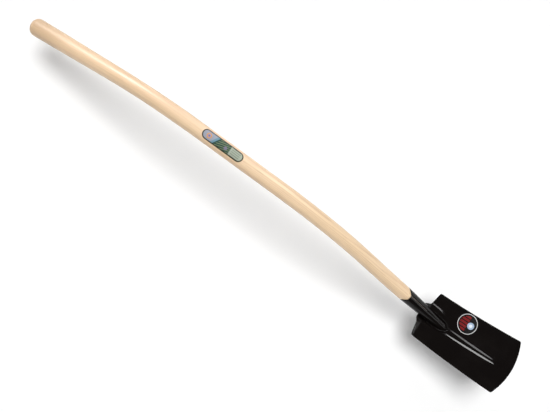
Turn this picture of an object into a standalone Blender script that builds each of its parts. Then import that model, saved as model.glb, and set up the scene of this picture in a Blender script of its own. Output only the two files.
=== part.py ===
"""Trenching spade: a narrow dished blade with a rolled socket on a bent ash handle.

The tool is modelled in its own frame. X runs along the socket's axis towards the blade, Z points out
of the load face, and the origin is the centre of the socket's mouth. The tool is symmetric about
Y = 0 but for the socket's seam and mouth, the groove, the sticker and the shoulders, of which the left
one, at +Y, lies further forward. At the end it is laid down as it rests on a floor with its face up,
on the grip end, the heel of the blade and one side of the blade. Lengths are in metres, angles in
degrees.
"""

import math

import bmesh
import bpy
import numpy as np
from mathutils import Matrix, Vector

# Handle: a steam-bent ash stick, measured along its centre line from the blade end
HANDLE_LENGTH = 1.200
HANDLE_DIAMETER = 0.036
GRIP_DIAMETER = 0.0414
GRIP_SWELL_LENGTH = 0.300
GRIP_STRAIGHT = 0.232
LOWER_STRAIGHT = 0.156
REVERSE_BEND_LENGTH = 0.120
REVERSE_BEND_ANGLE = 3.5
LOWER_BEND_RADIUS = 0.612
LOWER_BEND_ANGLE = 25.8
UPPER_BEND_RADIUS = 0.579
UPPER_BEND_ANGLE = 23.7
DOME_DEPTH = 0.016
END_FACET_DIAMETER = 0.012
TIP_CHAMFER = 0.002
WOOD_SHOULDER_GAP = 0.0006
WOOD_SHOULDER_ROUND = 0.0006

# Socket: sheet steel rolled to a cone, open along a tapering seam on the face side
SOCKET_INSERT = 0.082
SOCKET_TAPER = 2.0
SOCKET_SHEET = 0.0018
SEAM_MOUTH_WIDTH = 0.0026
SEAM_END_WIDTH = 0.0008
SEAM_TURN = 8.0
MOUTH_DIP = 0.0100
MOUTH_DIP_SPREAD = 0.96
MOUTH_TURN = -12.0

# Blade: one dished sheet
BLADE_LENGTH = 0.233
SHOULDER_WIDTH = 0.1285
EDGE_WIDTH = 0.1485
BLADE_SHEET = 0.0020
BLADE_LIFT = 34.6
DISH_DEPTH = 0.0062
LENGTHWISE_SAG = 0.0133
CUTTING_EDGE_BOW = 0.0162
HEEL_FROM_MOUTH = 0.109
TONGUE_LENGTH = 0.0185
TONGUE_HALF_WIDTH = 0.0215
LEFT_SHOULDER = 0.0035
RIGHT_SHOULDER = -0.0060
SHOULDER_DROP = 0.0060
SHOULDER_DROP_HALF_WIDTH = 0.0295
CORNER_RADIUS = 0.005
NECK_FILLET = 0.008
HEEL_BLEND = 0.002
NECK_SWELL = 0.0040
NECK_SWELL_SPREAD = 0.0170
NECK_SWELL_LENGTH = 0.062

# Groove pressed into the face: it starts under the socket and runs out before the cutting edge
GROOVE_LENGTH = 0.216
GROOVE_DEPTH = 0.0036
GROOVE_HALF_WIDTH = 0.0180
GROOVE_END_HALF_WIDTH = 0.0075
GROOVE_SIDE = -0.0045

# Welds that join the socket to the blade
WELD_RADIUS = 0.0022
WELD_REACH = 128.0
HEEL_WELD_HALF_ANGLE = 42.0

# Rivet through the back of the socket into the wood
RIVET_FROM_MOUTH = 0.030
RIVET_SHANK_RADIUS = 0.0025
RIVET_HEAD_RADIUS = 0.0052
RIVET_HEAD_HEIGHT = 0.0024
RIVET_SHANK_LENGTH = 0.022

# Labels
LABEL_LENGTH = 0.106
LABEL_WIDTH = 0.0245
LABEL_FROM_MOUTH = 0.593
STICKER_DIAMETER = 0.0535
STICKER_ALONG = 0.101
STICKER_ACROSS = 0.0395
LABEL_THICKNESS = 0.00025

# Clearances between neighbouring pieces
FIT_GAP = 0.0004
SEAT_GAP = 0.0003
WELD_GAP = 0.0005
LABEL_GAP = 0.0002
CUT_MARGIN = 0.010
BLANK_REACH = 0.12
SEAT_REACH = 0.08
SEAT_SPREAD = 1.6

# Fineness of the curved surfaces
HANDLE_SIDES = 28
HANDLE_STEP = 0.022
DOME_RINGS = 6
TURNED_STEPS = 40
BLADE_ROW_STEP = 0.0087
BLADE_COLUMNS = 30
COLUMN_EVENNESS = 0.45
SEAT_COLUMNS = 25
WELD_POINTS = 44
HEEL_WELD_POINTS = 14
WELD_SIDES = 8
RIVET_STEPS = 20
LABEL_ROWS = 11
LABEL_COLUMNS = 25
STICKER_RINGS = 6
STICKER_SPOKES = 36
FILLET_STEPS = 5
CURVE_SAMPLES = 400
MERGE_DISTANCE = 0.00002
SHARP_ANGLE = 35.0

BLANK_LENGTH = TONGUE_LENGTH + BLADE_LENGTH + CUTTING_EDGE_BOW + 2.0 * CUT_MARGIN
BLADE_ROWS = round(BLANK_LENGTH / BLADE_ROW_STEP) + 1
LIFT = math.radians(BLADE_LIFT)
CHORD = np.array([math.cos(LIFT), 0.0, math.sin(LIFT)])
FACE_NORMAL = np.array([-math.sin(LIFT), 0.0, math.cos(LIFT)])
SIDEWAYS = np.array([0.0, 1.0, 0.0])


def make_material(name, colour, roughness, metallic=0.0):
    """A Principled material with one colour."""
    material = bpy.data.materials.new(name)
    material.use_nodes = True
    shader = material.node_tree.nodes["Principled BSDF"]
    shader.inputs["Base Color"].default_value = (*colour, 1.0)
    shader.inputs["Roughness"].default_value = roughness
    shader.inputs["Metallic"].default_value = metallic
    material.diffuse_color = (*colour, 1.0)
    return material


class Workshop:
    """Keeps the parts, the cutters and the empty that lays the tool down."""

    def __init__(self):
        for old in list(bpy.data.objects):
            bpy.data.objects.remove(old, do_unlink=True)
        self.parts = bpy.data.collections.new("trenching_spade")
        self.cutters = bpy.data.collections.new("cutters")
        for collection in (self.parts, self.cutters):
            bpy.context.scene.collection.children.link(collection)
        self.pose = bpy.data.objects.new("lying_pose", None)
        bpy.context.scene.collection.objects.link(self.pose)

    def add_part(self, name, data, material):
        """Link a part in the tool's frame under the empty."""
        part = bpy.data.objects.new(name, data)
        self.parts.objects.link(part)
        part.parent = self.pose
        data.materials.clear()
        data.materials.append(material)
        return part

    def add_cutter(self, name, data):
        """Link a cutter, which is never part of the tool."""
        cutter = bpy.data.objects.new(name, data)
        self.cutters.objects.link(cutter)
        cutter.parent = self.pose
        cutter.hide_render = True
        cutter.display_type = "WIRE"
        return cutter


def cut(part, cutter, operation="DIFFERENCE"):
    """Add a Boolean modifier that keeps the exact solver."""
    boolean = part.modifiers.new(cutter.name, "BOOLEAN")
    boolean.operation = operation
    boolean.object = cutter
    boolean.solver = "EXACT"
    return boolean


def shade_round(mesh):
    """Smooth shading with the true edges kept sharp."""
    mesh.shade_smooth()
    mesh.set_sharp_from_angle(angle=math.radians(SHARP_ANGLE))


def mesh_from_faces(name, points, faces):
    """A mesh from points and faces, with its normals made to agree."""
    mesh = bpy.data.meshes.new(name)
    mesh.from_pydata([tuple(point) for point in points], [], faces)
    mesh.update()
    shade_round(mesh)
    return mesh


def grid_faces(rows, columns):
    """Quads of a grid whose points are stored row by row, facing along row x column."""
    return [
        (r * columns + c, (r + 1) * columns + c, (r + 1) * columns + c + 1, r * columns + c + 1)
        for r in range(rows - 1)
        for c in range(columns - 1)
    ]


def prism(name, outline, low, high, origin, along, across, normal):
    """A closed prism on a flat outline of (along, across) pairs, between two heights on the normal."""
    mesh = bpy.data.meshes.new(name)
    work = bmesh.new()
    base = [work.verts.new(origin + along * a + across * b + normal * low) for a, b in outline]
    face = work.faces.new(base)
    swept = bmesh.ops.extrude_face_region(work, geom=[face])
    moved = [item for item in swept["geom"] if isinstance(item, bmesh.types.BMVert)]
    bmesh.ops.translate(work, verts=moved, vec=Vector(normal * (high - low)))
    bmesh.ops.recalc_face_normals(work, faces=work.faces)
    work.to_mesh(mesh)
    work.free()
    return mesh


def fillet(before, corner, after, radius):
    """Points of the arc that rounds one corner of a flat outline."""
    before, corner, after = (np.array(point, dtype=float) for point in (before, corner, after))
    to_before = (before - corner) / np.linalg.norm(before - corner)
    to_after = (after - corner) / np.linalg.norm(after - corner)
    half = math.acos(float(np.clip(to_before @ to_after, -1.0, 1.0))) / 2.0
    reach = radius / math.tan(half)
    bisector = (to_before + to_after) / np.linalg.norm(to_before + to_after)
    centre = corner + bisector * radius / math.sin(half)
    start = corner + to_before * reach - centre
    end = corner + to_after * reach - centre
    sweep = math.atan2(start[0] * end[1] - start[1] * end[0], start @ end)
    points = []
    for step in range(FILLET_STEPS + 1):
        turn = sweep * step / FILLET_STEPS
        cosine, sine = math.cos(turn), math.sin(turn)
        points.append(centre + (cosine * start[0] - sine * start[1], sine * start[0] + cosine * start[1]))
    return points


# Handle

def handle_bend(station):
    """How far the handle has turned down, in radians, at a distance along it from the blade end."""
    past_mouth = np.clip((station - SOCKET_INSERT) / REVERSE_BEND_LENGTH, 0.0, 1.0)
    rise = math.radians(REVERSE_BEND_ANGLE) * past_mouth
    lower_start = SOCKET_INSERT + LOWER_STRAIGHT
    upper_end = HANDLE_LENGTH - GRIP_STRAIGHT
    upper_start = upper_end - UPPER_BEND_RADIUS * math.radians(UPPER_BEND_ANGLE)
    lower = np.clip((station - lower_start) / LOWER_BEND_RADIUS, 0.0, math.radians(LOWER_BEND_ANGLE))
    upper = np.clip((station - upper_start) / UPPER_BEND_RADIUS, 0.0, math.radians(UPPER_BEND_ANGLE))
    return lower + upper - rise


def handle_point(station):
    """Centre line of the handle: straight in the socket, a slight rise, then two bends down."""
    marks, step = np.linspace(0.0, station, CURVE_SAMPLES, retstep=True)
    bends = handle_bend(marks[1:] - step / 2.0)
    return np.array([SOCKET_INSERT - np.sum(np.cos(bends)) * step, 0.0, -np.sum(np.sin(bends)) * step])


def socket_radius(x):
    """Outer radius of the socket at a distance from its mouth."""
    return HANDLE_DIAMETER / 2.0 - x * math.tan(math.radians(SOCKET_TAPER))


def handle_radius(station):
    """Radius of the handle outside the socket, with the swelling towards the grip."""
    swell = np.clip((station - (HANDLE_LENGTH - GRIP_SWELL_LENGTH)) / GRIP_SWELL_LENGTH, 0.0, 1.0)
    blend = swell * swell * (3.0 - 2.0 * swell)
    return (HANDLE_DIAMETER + (GRIP_DIAMETER - HANDLE_DIAMETER) * blend) / 2.0


def handle_stations():
    """Pairs of station and radius along the whole stick, from the blade end to the grip end."""
    wood_inset = SOCKET_SHEET + FIT_GAP
    tip_radius = socket_radius(SOCKET_INSERT) - wood_inset
    pairs = [(0.0, tip_radius - TIP_CHAMFER), (TIP_CHAMFER, tip_radius)]
    shoulder = SOCKET_INSERT + WOOD_SHOULDER_GAP
    pairs.append((shoulder, socket_radius(0.0) - wood_inset))
    pairs.append((shoulder + WOOD_SHOULDER_ROUND / 5.0, socket_radius(0.0) - WOOD_SHOULDER_ROUND))
    pairs.append((shoulder + WOOD_SHOULDER_ROUND, socket_radius(0.0)))
    dome_start = HANDLE_LENGTH - DOME_DEPTH
    count = round((dome_start - shoulder) / HANDLE_STEP)
    for station in np.linspace(shoulder, dome_start, count + 1)[1:-1]:
        pairs.append((station, float(handle_radius(station))))
    grip = GRIP_DIAMETER / 2.0
    last_angle = math.acos(END_FACET_DIAMETER / 2.0 / grip)
    for angle in np.linspace(0.0, last_angle, DOME_RINGS + 1):
        rise = DOME_DEPTH * math.sin(angle) / math.sin(last_angle)
        pairs.append((dome_start + rise, grip * math.cos(angle)))
    return pairs


def sweep_curve(name, points, radii, sides):
    """A mesh tube along points, made from a curve with filled caps."""
    data = bpy.data.curves.new(name, "CURVE")
    data.dimensions = "3D"
    data.bevel_depth = 1.0
    data.bevel_resolution = sides // 2 - 2
    data.use_fill_caps = True
    data.resolution_u = 1
    data.render_resolution_u = 0
    spline = data.splines.new("POLY")
    spline.points.add(len(points) - 1)
    for target, point, radius in zip(spline.points, points, radii):
        target.co = (*point, 1.0)
        target.radius = radius
    guide = bpy.data.objects.new(name, data)
    bpy.context.scene.collection.objects.link(guide)
    bpy.context.view_layer.update()
    evaluated = guide.evaluated_get(bpy.context.evaluated_depsgraph_get())
    mesh = bpy.data.meshes.new_from_object(evaluated)
    bpy.data.objects.remove(guide, do_unlink=True)
    bpy.data.curves.remove(data)
    work = bmesh.new()
    work.from_mesh(mesh)
    bmesh.ops.remove_doubles(work, verts=work.verts, dist=MERGE_DISTANCE)
    bmesh.ops.recalc_face_normals(work, faces=work.faces)
    work.to_mesh(mesh)
    work.free()
    shade_round(mesh)
    return mesh


def build_handle(shop, material, rivet_cutter):
    """The stick, with the hole that the rivet is driven into."""
    pairs = handle_stations()
    points = [handle_point(station) for station, radius in pairs]
    radii = [radius for station, radius in pairs]
    handle = shop.add_part("handle", sweep_curve("handle", points, radii, HANDLE_SIDES), material)
    cut(handle, rivet_cutter)
    return handle


# Blade

def neck_rise(along):
    """Height of the swelling beside the socket, full at the heel and gone a little past the socket's end."""
    share = np.clip(along / NECK_SWELL_LENGTH, 0.0, 1.0)
    return NECK_SWELL * (0.5 + 0.5 * np.cos(math.pi * share))


def groove_depth(along, across):
    """Depth of the pressed groove, whose cosine section narrows and runs out towards the edge.

    Beside the socket it is also as deep as the sheet is swelled there, so its floor runs through evenly.
    """
    run = np.clip(along / GROOVE_LENGTH, 0.0, 1.0)
    half_width = GROOVE_HALF_WIDTH + (GROOVE_END_HALF_WIDTH - GROOVE_HALF_WIDTH) * run
    depth = GROOVE_DEPTH * np.sqrt(1.0 - run) + neck_rise(along)
    side = np.clip(np.abs(across - GROOVE_SIDE) / half_width, 0.0, 1.0)
    return depth * (0.5 + 0.5 * np.cos(math.pi * side))


def half_width_at(along):
    """Half the blade's width at a distance from its shoulder line."""
    share = along / BLADE_LENGTH
    return (SHOULDER_WIDTH + (EDGE_WIDTH - SHOULDER_WIDTH) * share) / 2.0


def face_height(along, across):
    """Height of the load face above the blade's chord line through the heel."""
    share = along / BLADE_LENGTH
    sag = 4.0 * LENGTHWISE_SAG * share * (1.0 - share)
    dish = DISH_DEPTH * (across / half_width_at(along)) ** 2
    swell = neck_rise(along) * np.exp(-((across / NECK_SWELL_SPREAD) ** 2))
    slope = math.tan(LIFT) - 4.0 * LENGTHWISE_SAG / BLADE_LENGTH
    behind = np.minimum(along, 0.0)
    heel_rise = slope * (np.sqrt(behind**2 + HEEL_BLEND**2) - HEEL_BLEND)
    run_on = np.where(along > 0.0, sag, along * 4.0 * LENGTHWISE_SAG / BLADE_LENGTH)
    return dish + swell - run_on + heel_rise


def heel_point():
    """Where the chord line starts, just under the socket."""
    return np.array([HEEL_FROM_MOUTH, 0.0, -socket_radius(HEEL_FROM_MOUTH) - SEAT_GAP])


def face_point(along, across, lift=0.0):
    """Points of the load face, or of a surface a little above it."""
    along, across = np.broadcast_arrays(np.asarray(along, dtype=float), np.asarray(across, dtype=float))
    height = face_height(along, across) - groove_depth(along, across) + lift
    flat = along[..., None] * CHORD + across[..., None] * SIDEWAYS
    return heel_point() + flat + height[..., None] * FACE_NORMAL


def blade_grid():
    """Rows and columns of the sheet, larger than its outline and finer over the groove."""
    rows = np.linspace(-TONGUE_LENGTH - CUT_MARGIN, BLADE_LENGTH + CUTTING_EDGE_BOW + CUT_MARGIN, BLADE_ROWS)
    share = np.linspace(-1.0, 1.0, BLADE_COLUMNS + 1)
    reach = EDGE_WIDTH / 2.0 + CUT_MARGIN
    columns = reach * (COLUMN_EVENNESS * share + (1.0 - COLUMN_EVENNESS) * share**3)
    return np.meshgrid(rows, columns, indexing="ij")


def half_outline(shoulder):
    """Half of the blank's outline as (along, across) pairs at +Y, with its shoulder at a place along."""
    corners = [
        ((-TONGUE_LENGTH, TONGUE_HALF_WIDTH), TONGUE_HALF_WIDTH / 4.0),
        ((shoulder - SHOULDER_DROP, SHOULDER_DROP_HALF_WIDTH), NECK_FILLET),
        ((shoulder, SHOULDER_WIDTH / 2.0), CORNER_RADIUS),
        ((BLADE_LENGTH, EDGE_WIDTH / 2.0), CORNER_RADIUS),
    ]
    shares = np.linspace(0.9, 0.0, 11)
    bow = np.stack([BLADE_LENGTH + CUTTING_EDGE_BOW * (1.0 - shares**2), EDGE_WIDTH / 2.0 * shares], axis=-1)
    path = [(-TONGUE_LENGTH, 0.0)] + [point for point, radius in corners] + [bow[0]]
    half = []
    for index, (point, radius) in enumerate(corners, start=1):
        half += fillet(path[index - 1], point, path[index + 1], radius)
    return half + list(bow[1:])


def blade_outline():
    """The blank's outline: the left half at +Y, and the right half mirrored to -Y."""
    right = [point * np.array([1.0, -1.0]) for point in reversed(half_outline(RIGHT_SHOULDER)[:-1])]
    return half_outline(LEFT_SHOULDER) + right


def build_blade(shop, material):
    """The dished sheet, cut to the outline of its blank."""
    along, across = blade_grid()
    points = face_point(along, across).reshape(-1, 3)
    mesh = mesh_from_faces("blade", points, grid_faces(*along.shape))
    blade = shop.add_part("blade", mesh, material)
    wall = blade.modifiers.new("sheet", "SOLIDIFY")
    wall.thickness = BLADE_SHEET
    wall.offset = -1.0
    wall.use_even_offset = True
    blank = prism(
        "blade_blank", blade_outline(), -BLANK_REACH, BLANK_REACH,
        heel_point(), CHORD, SIDEWAYS, FACE_NORMAL,
    )
    cut(blade, shop.add_cutter("blade_blank", blank), "INTERSECT")
    return blade


# Socket

def turned_mesh(name, profile, closed):
    """A profile of (radius, height) pairs in the XZ plane, ready for a Screw modifier."""
    count = len(profile)
    edges = [(index, index + 1) for index in range(count - 1)]
    if closed:
        edges.append((count - 1, 0))
    mesh = bpy.data.meshes.new(name)
    mesh.from_pydata([(radius, 0.0, height) for radius, height in profile], edges, [])
    return mesh


def turn(part, steps):
    """Spin the profile round the object's own Z axis."""
    screw = part.modifiers.new("turned", "SCREW")
    screw.axis = "Z"
    screw.steps = steps
    screw.render_steps = steps
    screw.use_merge_vertices = True
    screw.merge_threshold = MERGE_DISTANCE
    screw.use_smooth_shade = True
    return screw


def build_rivet_cutter(shop):
    """The hole for the rivet, from behind the socket to just past the shank's end."""
    low = -socket_radius(0.0) - CUT_MARGIN
    high = -socket_radius(RIVET_FROM_MOUTH) - SEAT_GAP + RIVET_SHANK_LENGTH + FIT_GAP
    mesh = bpy.data.meshes.new("rivet_hole")
    work = bmesh.new()
    bmesh.ops.create_cone(
        work, cap_ends=True, segments=24, radius1=RIVET_SHANK_RADIUS + FIT_GAP,
        radius2=RIVET_SHANK_RADIUS + FIT_GAP, depth=high - low,
    )
    work.to_mesh(mesh)
    work.free()
    cutter = shop.add_cutter("rivet_hole", mesh)
    cutter.location = (RIVET_FROM_MOUTH, 0.0, (low + high) / 2.0)
    return cutter


def build_socket(shop, material, rivet_cutter):
    """The rolled cone with its seam and dipped mouth, and an end cut to sit on the blade.

    The cone starts longer than it needs to be, well past where its top line meets the load face.
    """
    end = HEEL_FROM_MOUTH + 4.0 * socket_radius(HEEL_FROM_MOUTH) / math.tan(LIFT)
    wide, narrow = socket_radius(0.0), max(socket_radius(end), 2.0 * SOCKET_SHEET)
    profile = [(wide, 0.0), (narrow, end), (narrow - SOCKET_SHEET, end), (wide - SOCKET_SHEET, 0.0)]
    socket = shop.add_part("socket", turned_mesh("socket", profile, closed=True), material)
    turn(socket, TURNED_STEPS)
    socket.rotation_euler = (0.0, math.radians(90.0), 0.0)

    half_mouth = MOUTH_DIP_SPREAD * wide
    dip = [(MOUTH_DIP * (1.0 - share**2), half_mouth * share) for share in np.linspace(-1.0, 1.0, 17)]
    dip += [(-CUT_MARGIN, half_mouth), (-CUT_MARGIN, -half_mouth)]
    cut(socket, shop.add_cutter("socket_mouth", top_prism("socket_mouth", dip, MOUTH_TURN)))

    slit = [(-CUT_MARGIN, -SEAM_MOUTH_WIDTH / 2.0), (end + CUT_MARGIN, -SEAM_END_WIDTH / 2.0)]
    slit += [(along, -across) for along, across in reversed(slit)]
    cut(socket, shop.add_cutter("socket_seam", top_prism("socket_seam", slit, SEAM_TURN)))

    rows = np.linspace(-TONGUE_LENGTH, BLADE_LENGTH, BLADE_ROWS)
    columns = np.linspace(-1.0, 1.0, SEAT_COLUMNS) * SEAT_SPREAD * wide
    seat_along, seat_across = np.meshgrid(rows, columns, indexing="ij")
    face = face_point(seat_along, seat_across, SEAT_GAP)
    below = face - SEAT_REACH * FACE_NORMAL
    below[0] -= CUT_MARGIN * CHORD
    cut(socket, shop.add_cutter("socket_seat", closed_slab("socket_seat", face, below)))
    cut(socket, rivet_cutter)
    return socket


def top_prism(name, outline, degrees):
    """A prism that reaches from the socket's axis out over its top, turned from the top towards +Y."""
    angle = math.radians(degrees)
    across = np.array([0.0, math.cos(angle), -math.sin(angle)])
    out = np.array([0.0, math.sin(angle), math.cos(angle)])
    reach = socket_radius(0.0) + CUT_MARGIN
    return prism(name, outline, 0.0, reach, np.zeros(3), np.array([1.0, 0.0, 0.0]), across, out)


def closed_slab(name, top, bottom):
    """A closed solid between two grids of points of the same shape."""
    rows, columns = top.shape[:2]
    count = rows * columns
    faces = grid_faces(rows, columns)
    faces += [tuple(count + index for index in reversed(face)) for face in grid_faces(rows, columns)]
    rim = [c for c in range(columns)]
    rim += [r * columns + columns - 1 for r in range(1, rows)]
    rim += [(rows - 1) * columns + c for c in range(columns - 2, -1, -1)]
    rim += [r * columns for r in range(rows - 2, 0, -1)]
    for here, there in zip(rim, rim[1:] + rim[:1]):
        faces.append((here, there, there + count, here + count))
    mesh = mesh_from_faces(name, np.concatenate([top.reshape(-1, 3), bottom.reshape(-1, 3)]), faces)
    work = bmesh.new()
    work.from_mesh(mesh)
    bmesh.ops.recalc_face_normals(work, faces=work.faces)
    work.to_mesh(mesh)
    work.free()
    return mesh


def build_rivet(shop, material):
    """A round-headed rivet driven from behind the socket."""
    profile = [(0.0, RIVET_HEAD_HEIGHT)]
    for angle in np.linspace(75.0, 0.0, 6):
        turn_angle = math.radians(angle)
        profile.append((RIVET_HEAD_RADIUS * math.cos(turn_angle), RIVET_HEAD_HEIGHT * math.sin(turn_angle)))
    profile += [
        (RIVET_SHANK_RADIUS, 0.0),
        (RIVET_SHANK_RADIUS, -RIVET_SHANK_LENGTH + RIVET_SHANK_RADIUS),
        (0.0, -RIVET_SHANK_LENGTH),
    ]
    rivet = shop.add_part("socket_rivet", turned_mesh("socket_rivet", profile, closed=False), material)
    turn(rivet, RIVET_STEPS)
    rivet.location = (RIVET_FROM_MOUTH, 0.0, -socket_radius(RIVET_FROM_MOUTH) - SEAT_GAP)
    rivet.rotation_euler = (math.radians(180.0), 0.0, 0.0)
    return rivet


# Welds

def weld_path():
    """Centre line of the bead in the corner between socket and blade, from one side over the top.

    For each angle round the socket, the bead's centre lies one bead radius off the cone and one off
    the load face, and its distance from the mouth is found by halving an interval.
    """
    reach = WELD_RADIUS + WELD_GAP
    angles = np.radians(np.linspace(-WELD_REACH, WELD_REACH, WELD_POINTS))
    low = np.full(angles.shape, HEEL_FROM_MOUTH - TONGUE_LENGTH)
    high = np.full(angles.shape, HEEL_FROM_MOUTH + BLADE_LENGTH / 2.0)
    for _ in range(40):
        middle = (low + high) / 2.0
        radius = socket_radius(middle) + reach
        point = np.stack([middle, radius * np.sin(angles), radius * np.cos(angles)], axis=-1)
        offset = point - heel_point()
        along, height = offset @ CHORD, offset @ FACE_NORMAL
        across = offset[:, 1]
        clear = height - face_height(along, across) + groove_depth(along, across)
        above = clear > reach
        low = np.where(above, middle, low)
        high = np.where(above, high, middle)
    return point


def build_face_weld(shop, material):
    """The bead round the bevelled end of the socket."""
    path = weld_path()
    radii = np.full(len(path), WELD_RADIUS)
    mesh = sweep_curve("face_weld", path, radii, WELD_SIDES)
    return shop.add_part("face_weld", mesh, material)


def build_heel_weld(shop, material):
    """The short bead behind the blade's tongue, on the underside of the socket."""
    x = tongue_end_x() - WELD_RADIUS - SEAT_GAP
    radius = socket_radius(x) + WELD_RADIUS + SEAT_GAP
    angles = np.radians(np.linspace(-HEEL_WELD_HALF_ANGLE, HEEL_WELD_HALF_ANGLE, HEEL_WELD_POINTS))
    path = np.stack([np.full(angles.shape, x), radius * np.sin(angles), -radius * np.cos(angles)], axis=-1)
    radii = np.full(len(path), WELD_RADIUS)
    mesh = sweep_curve("heel_weld", path, radii, WELD_SIDES)
    return shop.add_part("heel_weld", mesh, material)


def tongue_end_x():
    """Distance from the socket's mouth to the rearmost point of the tongue beside the heel weld."""
    half_angle = math.radians(HEEL_WELD_HALF_ANGLE)
    bead_half_width = socket_radius(HEEL_FROM_MOUTH) * math.sin(half_angle) + WELD_RADIUS
    across = np.linspace(0.0, bead_half_width, 9)
    return float(face_point(-TONGUE_LENGTH, across)[:, 0].min())


# Labels

def build_handle_label(shop, material):
    """A label with round ends, bent round the face side of the handle."""
    across_share, along_share = np.meshgrid(
        np.linspace(-1.0, 1.0, LABEL_ROWS), np.linspace(-1.0, 1.0, LABEL_COLUMNS), indexing="ij"
    )
    half_width = LABEL_WIDTH / 2.0
    offset = across_share * half_width
    half_length = LABEL_LENGTH / 2.0 - half_width + np.sqrt(np.maximum(half_width**2 - offset**2, 0.0))
    stations = SOCKET_INSERT + LABEL_FROM_MOUTH + along_share * half_length
    points = []
    for station, side in zip(stations.ravel(), offset.ravel()):
        radius = float(handle_radius(station)) + LABEL_GAP
        centre, bend = handle_point(station), float(handle_bend(station))
        up = np.array([-math.sin(bend), 0.0, math.cos(bend)])
        angle = side / radius
        points.append(centre + radius * (math.sin(angle) * SIDEWAYS + math.cos(angle) * up))
    mesh = mesh_from_faces("handle_label", points, grid_faces(*offset.shape))
    label = shop.add_part("handle_label", mesh, material)
    add_paper(label)
    return label


def add_paper(label):
    """Give a label its thickness, away from the surface that it is stuck to."""
    paper = label.modifiers.new("paper", "SOLIDIFY")
    paper.thickness = LABEL_THICKNESS
    paper.offset = 1.0


def build_blade_sticker(shop, material):
    """A round sticker on the load face, beside the end of the socket."""
    rings, spokes = STICKER_RINGS, STICKER_SPOKES
    angles = np.linspace(0.0, 2.0 * math.pi, spokes, endpoint=False)
    along, across = [STICKER_ALONG], [STICKER_ACROSS]
    for ring in range(1, rings + 1):
        radius = STICKER_DIAMETER / 2.0 * ring / rings
        along += list(STICKER_ALONG + radius * np.cos(angles))
        across += list(STICKER_ACROSS + radius * np.sin(angles))
    points = face_point(along, across, LABEL_GAP)
    faces = []
    for spoke in range(spokes):
        after = (spoke + 1) % spokes
        faces.append((0, 1 + spoke, 1 + after))
        for ring in range(rings - 1):
            inner, outer = 1 + ring * spokes, 1 + (ring + 1) * spokes
            faces.append((inner + spoke, outer + spoke, outer + after, inner + after))
    sticker = shop.add_part("blade_sticker", mesh_from_faces("blade_sticker", points, faces), material)
    add_paper(sticker)
    return sticker


# Resting pose

def tool_points(shop):
    """All corners of the finished parts, in the tool's frame."""
    bpy.context.view_layer.update()
    graph = bpy.context.evaluated_depsgraph_get()
    clouds = []
    for part in shop.parts.objects:
        evaluated = part.evaluated_get(graph)
        mesh = evaluated.to_mesh()
        flat = np.empty(len(mesh.vertices) * 3)
        mesh.vertices.foreach_get("co", flat)
        matrix = np.array(part.matrix_world)
        clouds.append(flat.reshape(-1, 3) @ matrix[:3, :3].T + matrix[:3, 3])
        evaluated.to_mesh_clear()
    return np.concatenate(clouds)


def lying_rotation(points):
    """Turn the tool until three of its points touch the floor.

    It is set down on its lowest point, tipped lengthwise until the blade touches, and rolled
    towards +Y about the line through those two points until the side of the blade touches.
    """
    first = points[np.argmin(points[:, 2])]
    offset = points - first
    ahead = offset[:, 0] > HANDLE_LENGTH / 4.0
    pitch = np.arctan2(offset[ahead, 2], offset[ahead, 0]).min()
    tip = np.array(Matrix.Rotation(pitch, 3, "Y"))
    offset = offset @ tip.T
    ahead_points = offset[ahead]
    second = ahead_points[np.argmin(ahead_points[:, 2])]
    line = second / np.linalg.norm(second)
    side = np.cross(np.array([0.0, 0.0, 1.0]), line)
    reach, height = offset @ side, offset[:, 2]
    outer = reach > HANDLE_DIAMETER / 2.0
    roll = np.arctan2(height[outer], reach[outer]).min()
    lean = np.array(Matrix.Rotation(-roll, 3, Vector(line)))
    return lean @ tip


def lay_down(shop):
    """Lay the tool on the floor with the origin under the middle of its box."""
    points = tool_points(shop)
    rotation = lying_rotation(points)
    laid = points @ rotation.T
    low, high = laid.min(axis=0), laid.max(axis=0)
    place = Matrix([list(row) for row in rotation]).to_4x4()
    place.translation = (-(low[0] + high[0]) / 2.0, -(low[1] + high[1]) / 2.0, -low[2])
    shop.pose.matrix_world = place
    bpy.context.view_layer.update()


def main():
    shop = Workshop()
    ash = make_material("ash_wood", (0.82, 0.62, 0.42), 0.38)
    enamel = make_material("black_enamel", (0.010, 0.009, 0.009), 0.22)
    label_print = make_material("handle_label_print", (0.10, 0.19, 0.17), 0.30)
    sticker_print = make_material("blade_sticker_print", (0.55, 0.60, 0.66), 0.30)

    rivet_hole = build_rivet_cutter(shop)
    build_handle(shop, ash, rivet_hole)
    build_socket(shop, enamel, rivet_hole)
    build_blade(shop, enamel)
    build_face_weld(shop, enamel)
    build_heel_weld(shop, enamel)
    build_rivet(shop, enamel)
    build_handle_label(shop, label_print)
    build_blade_sticker(shop, sticker_print)
    lay_down(shop)


main()
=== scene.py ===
"""Trenching spade: the finished wood, steel, welds and labels on the packed model, and a plain studio.

The tool's own frame is used for every piece: X runs along the socket's axis towards the blade, Z out of
the load face, and the origin is the centre of the socket's mouth. Each piece is worked out there as a
surface of two parameters and then laid down in the place where the packed model lies. Lengths are in
metres and angles in radians, but for the lamps' angles, which are in degrees.
"""

import math

import bpy
import numpy as np
from bpy.props import FloatProperty, FloatVectorProperty, PointerProperty
from bpy.types import Operator, Panel, PropertyGroup
from mathutils import Euler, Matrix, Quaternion, Vector


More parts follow.
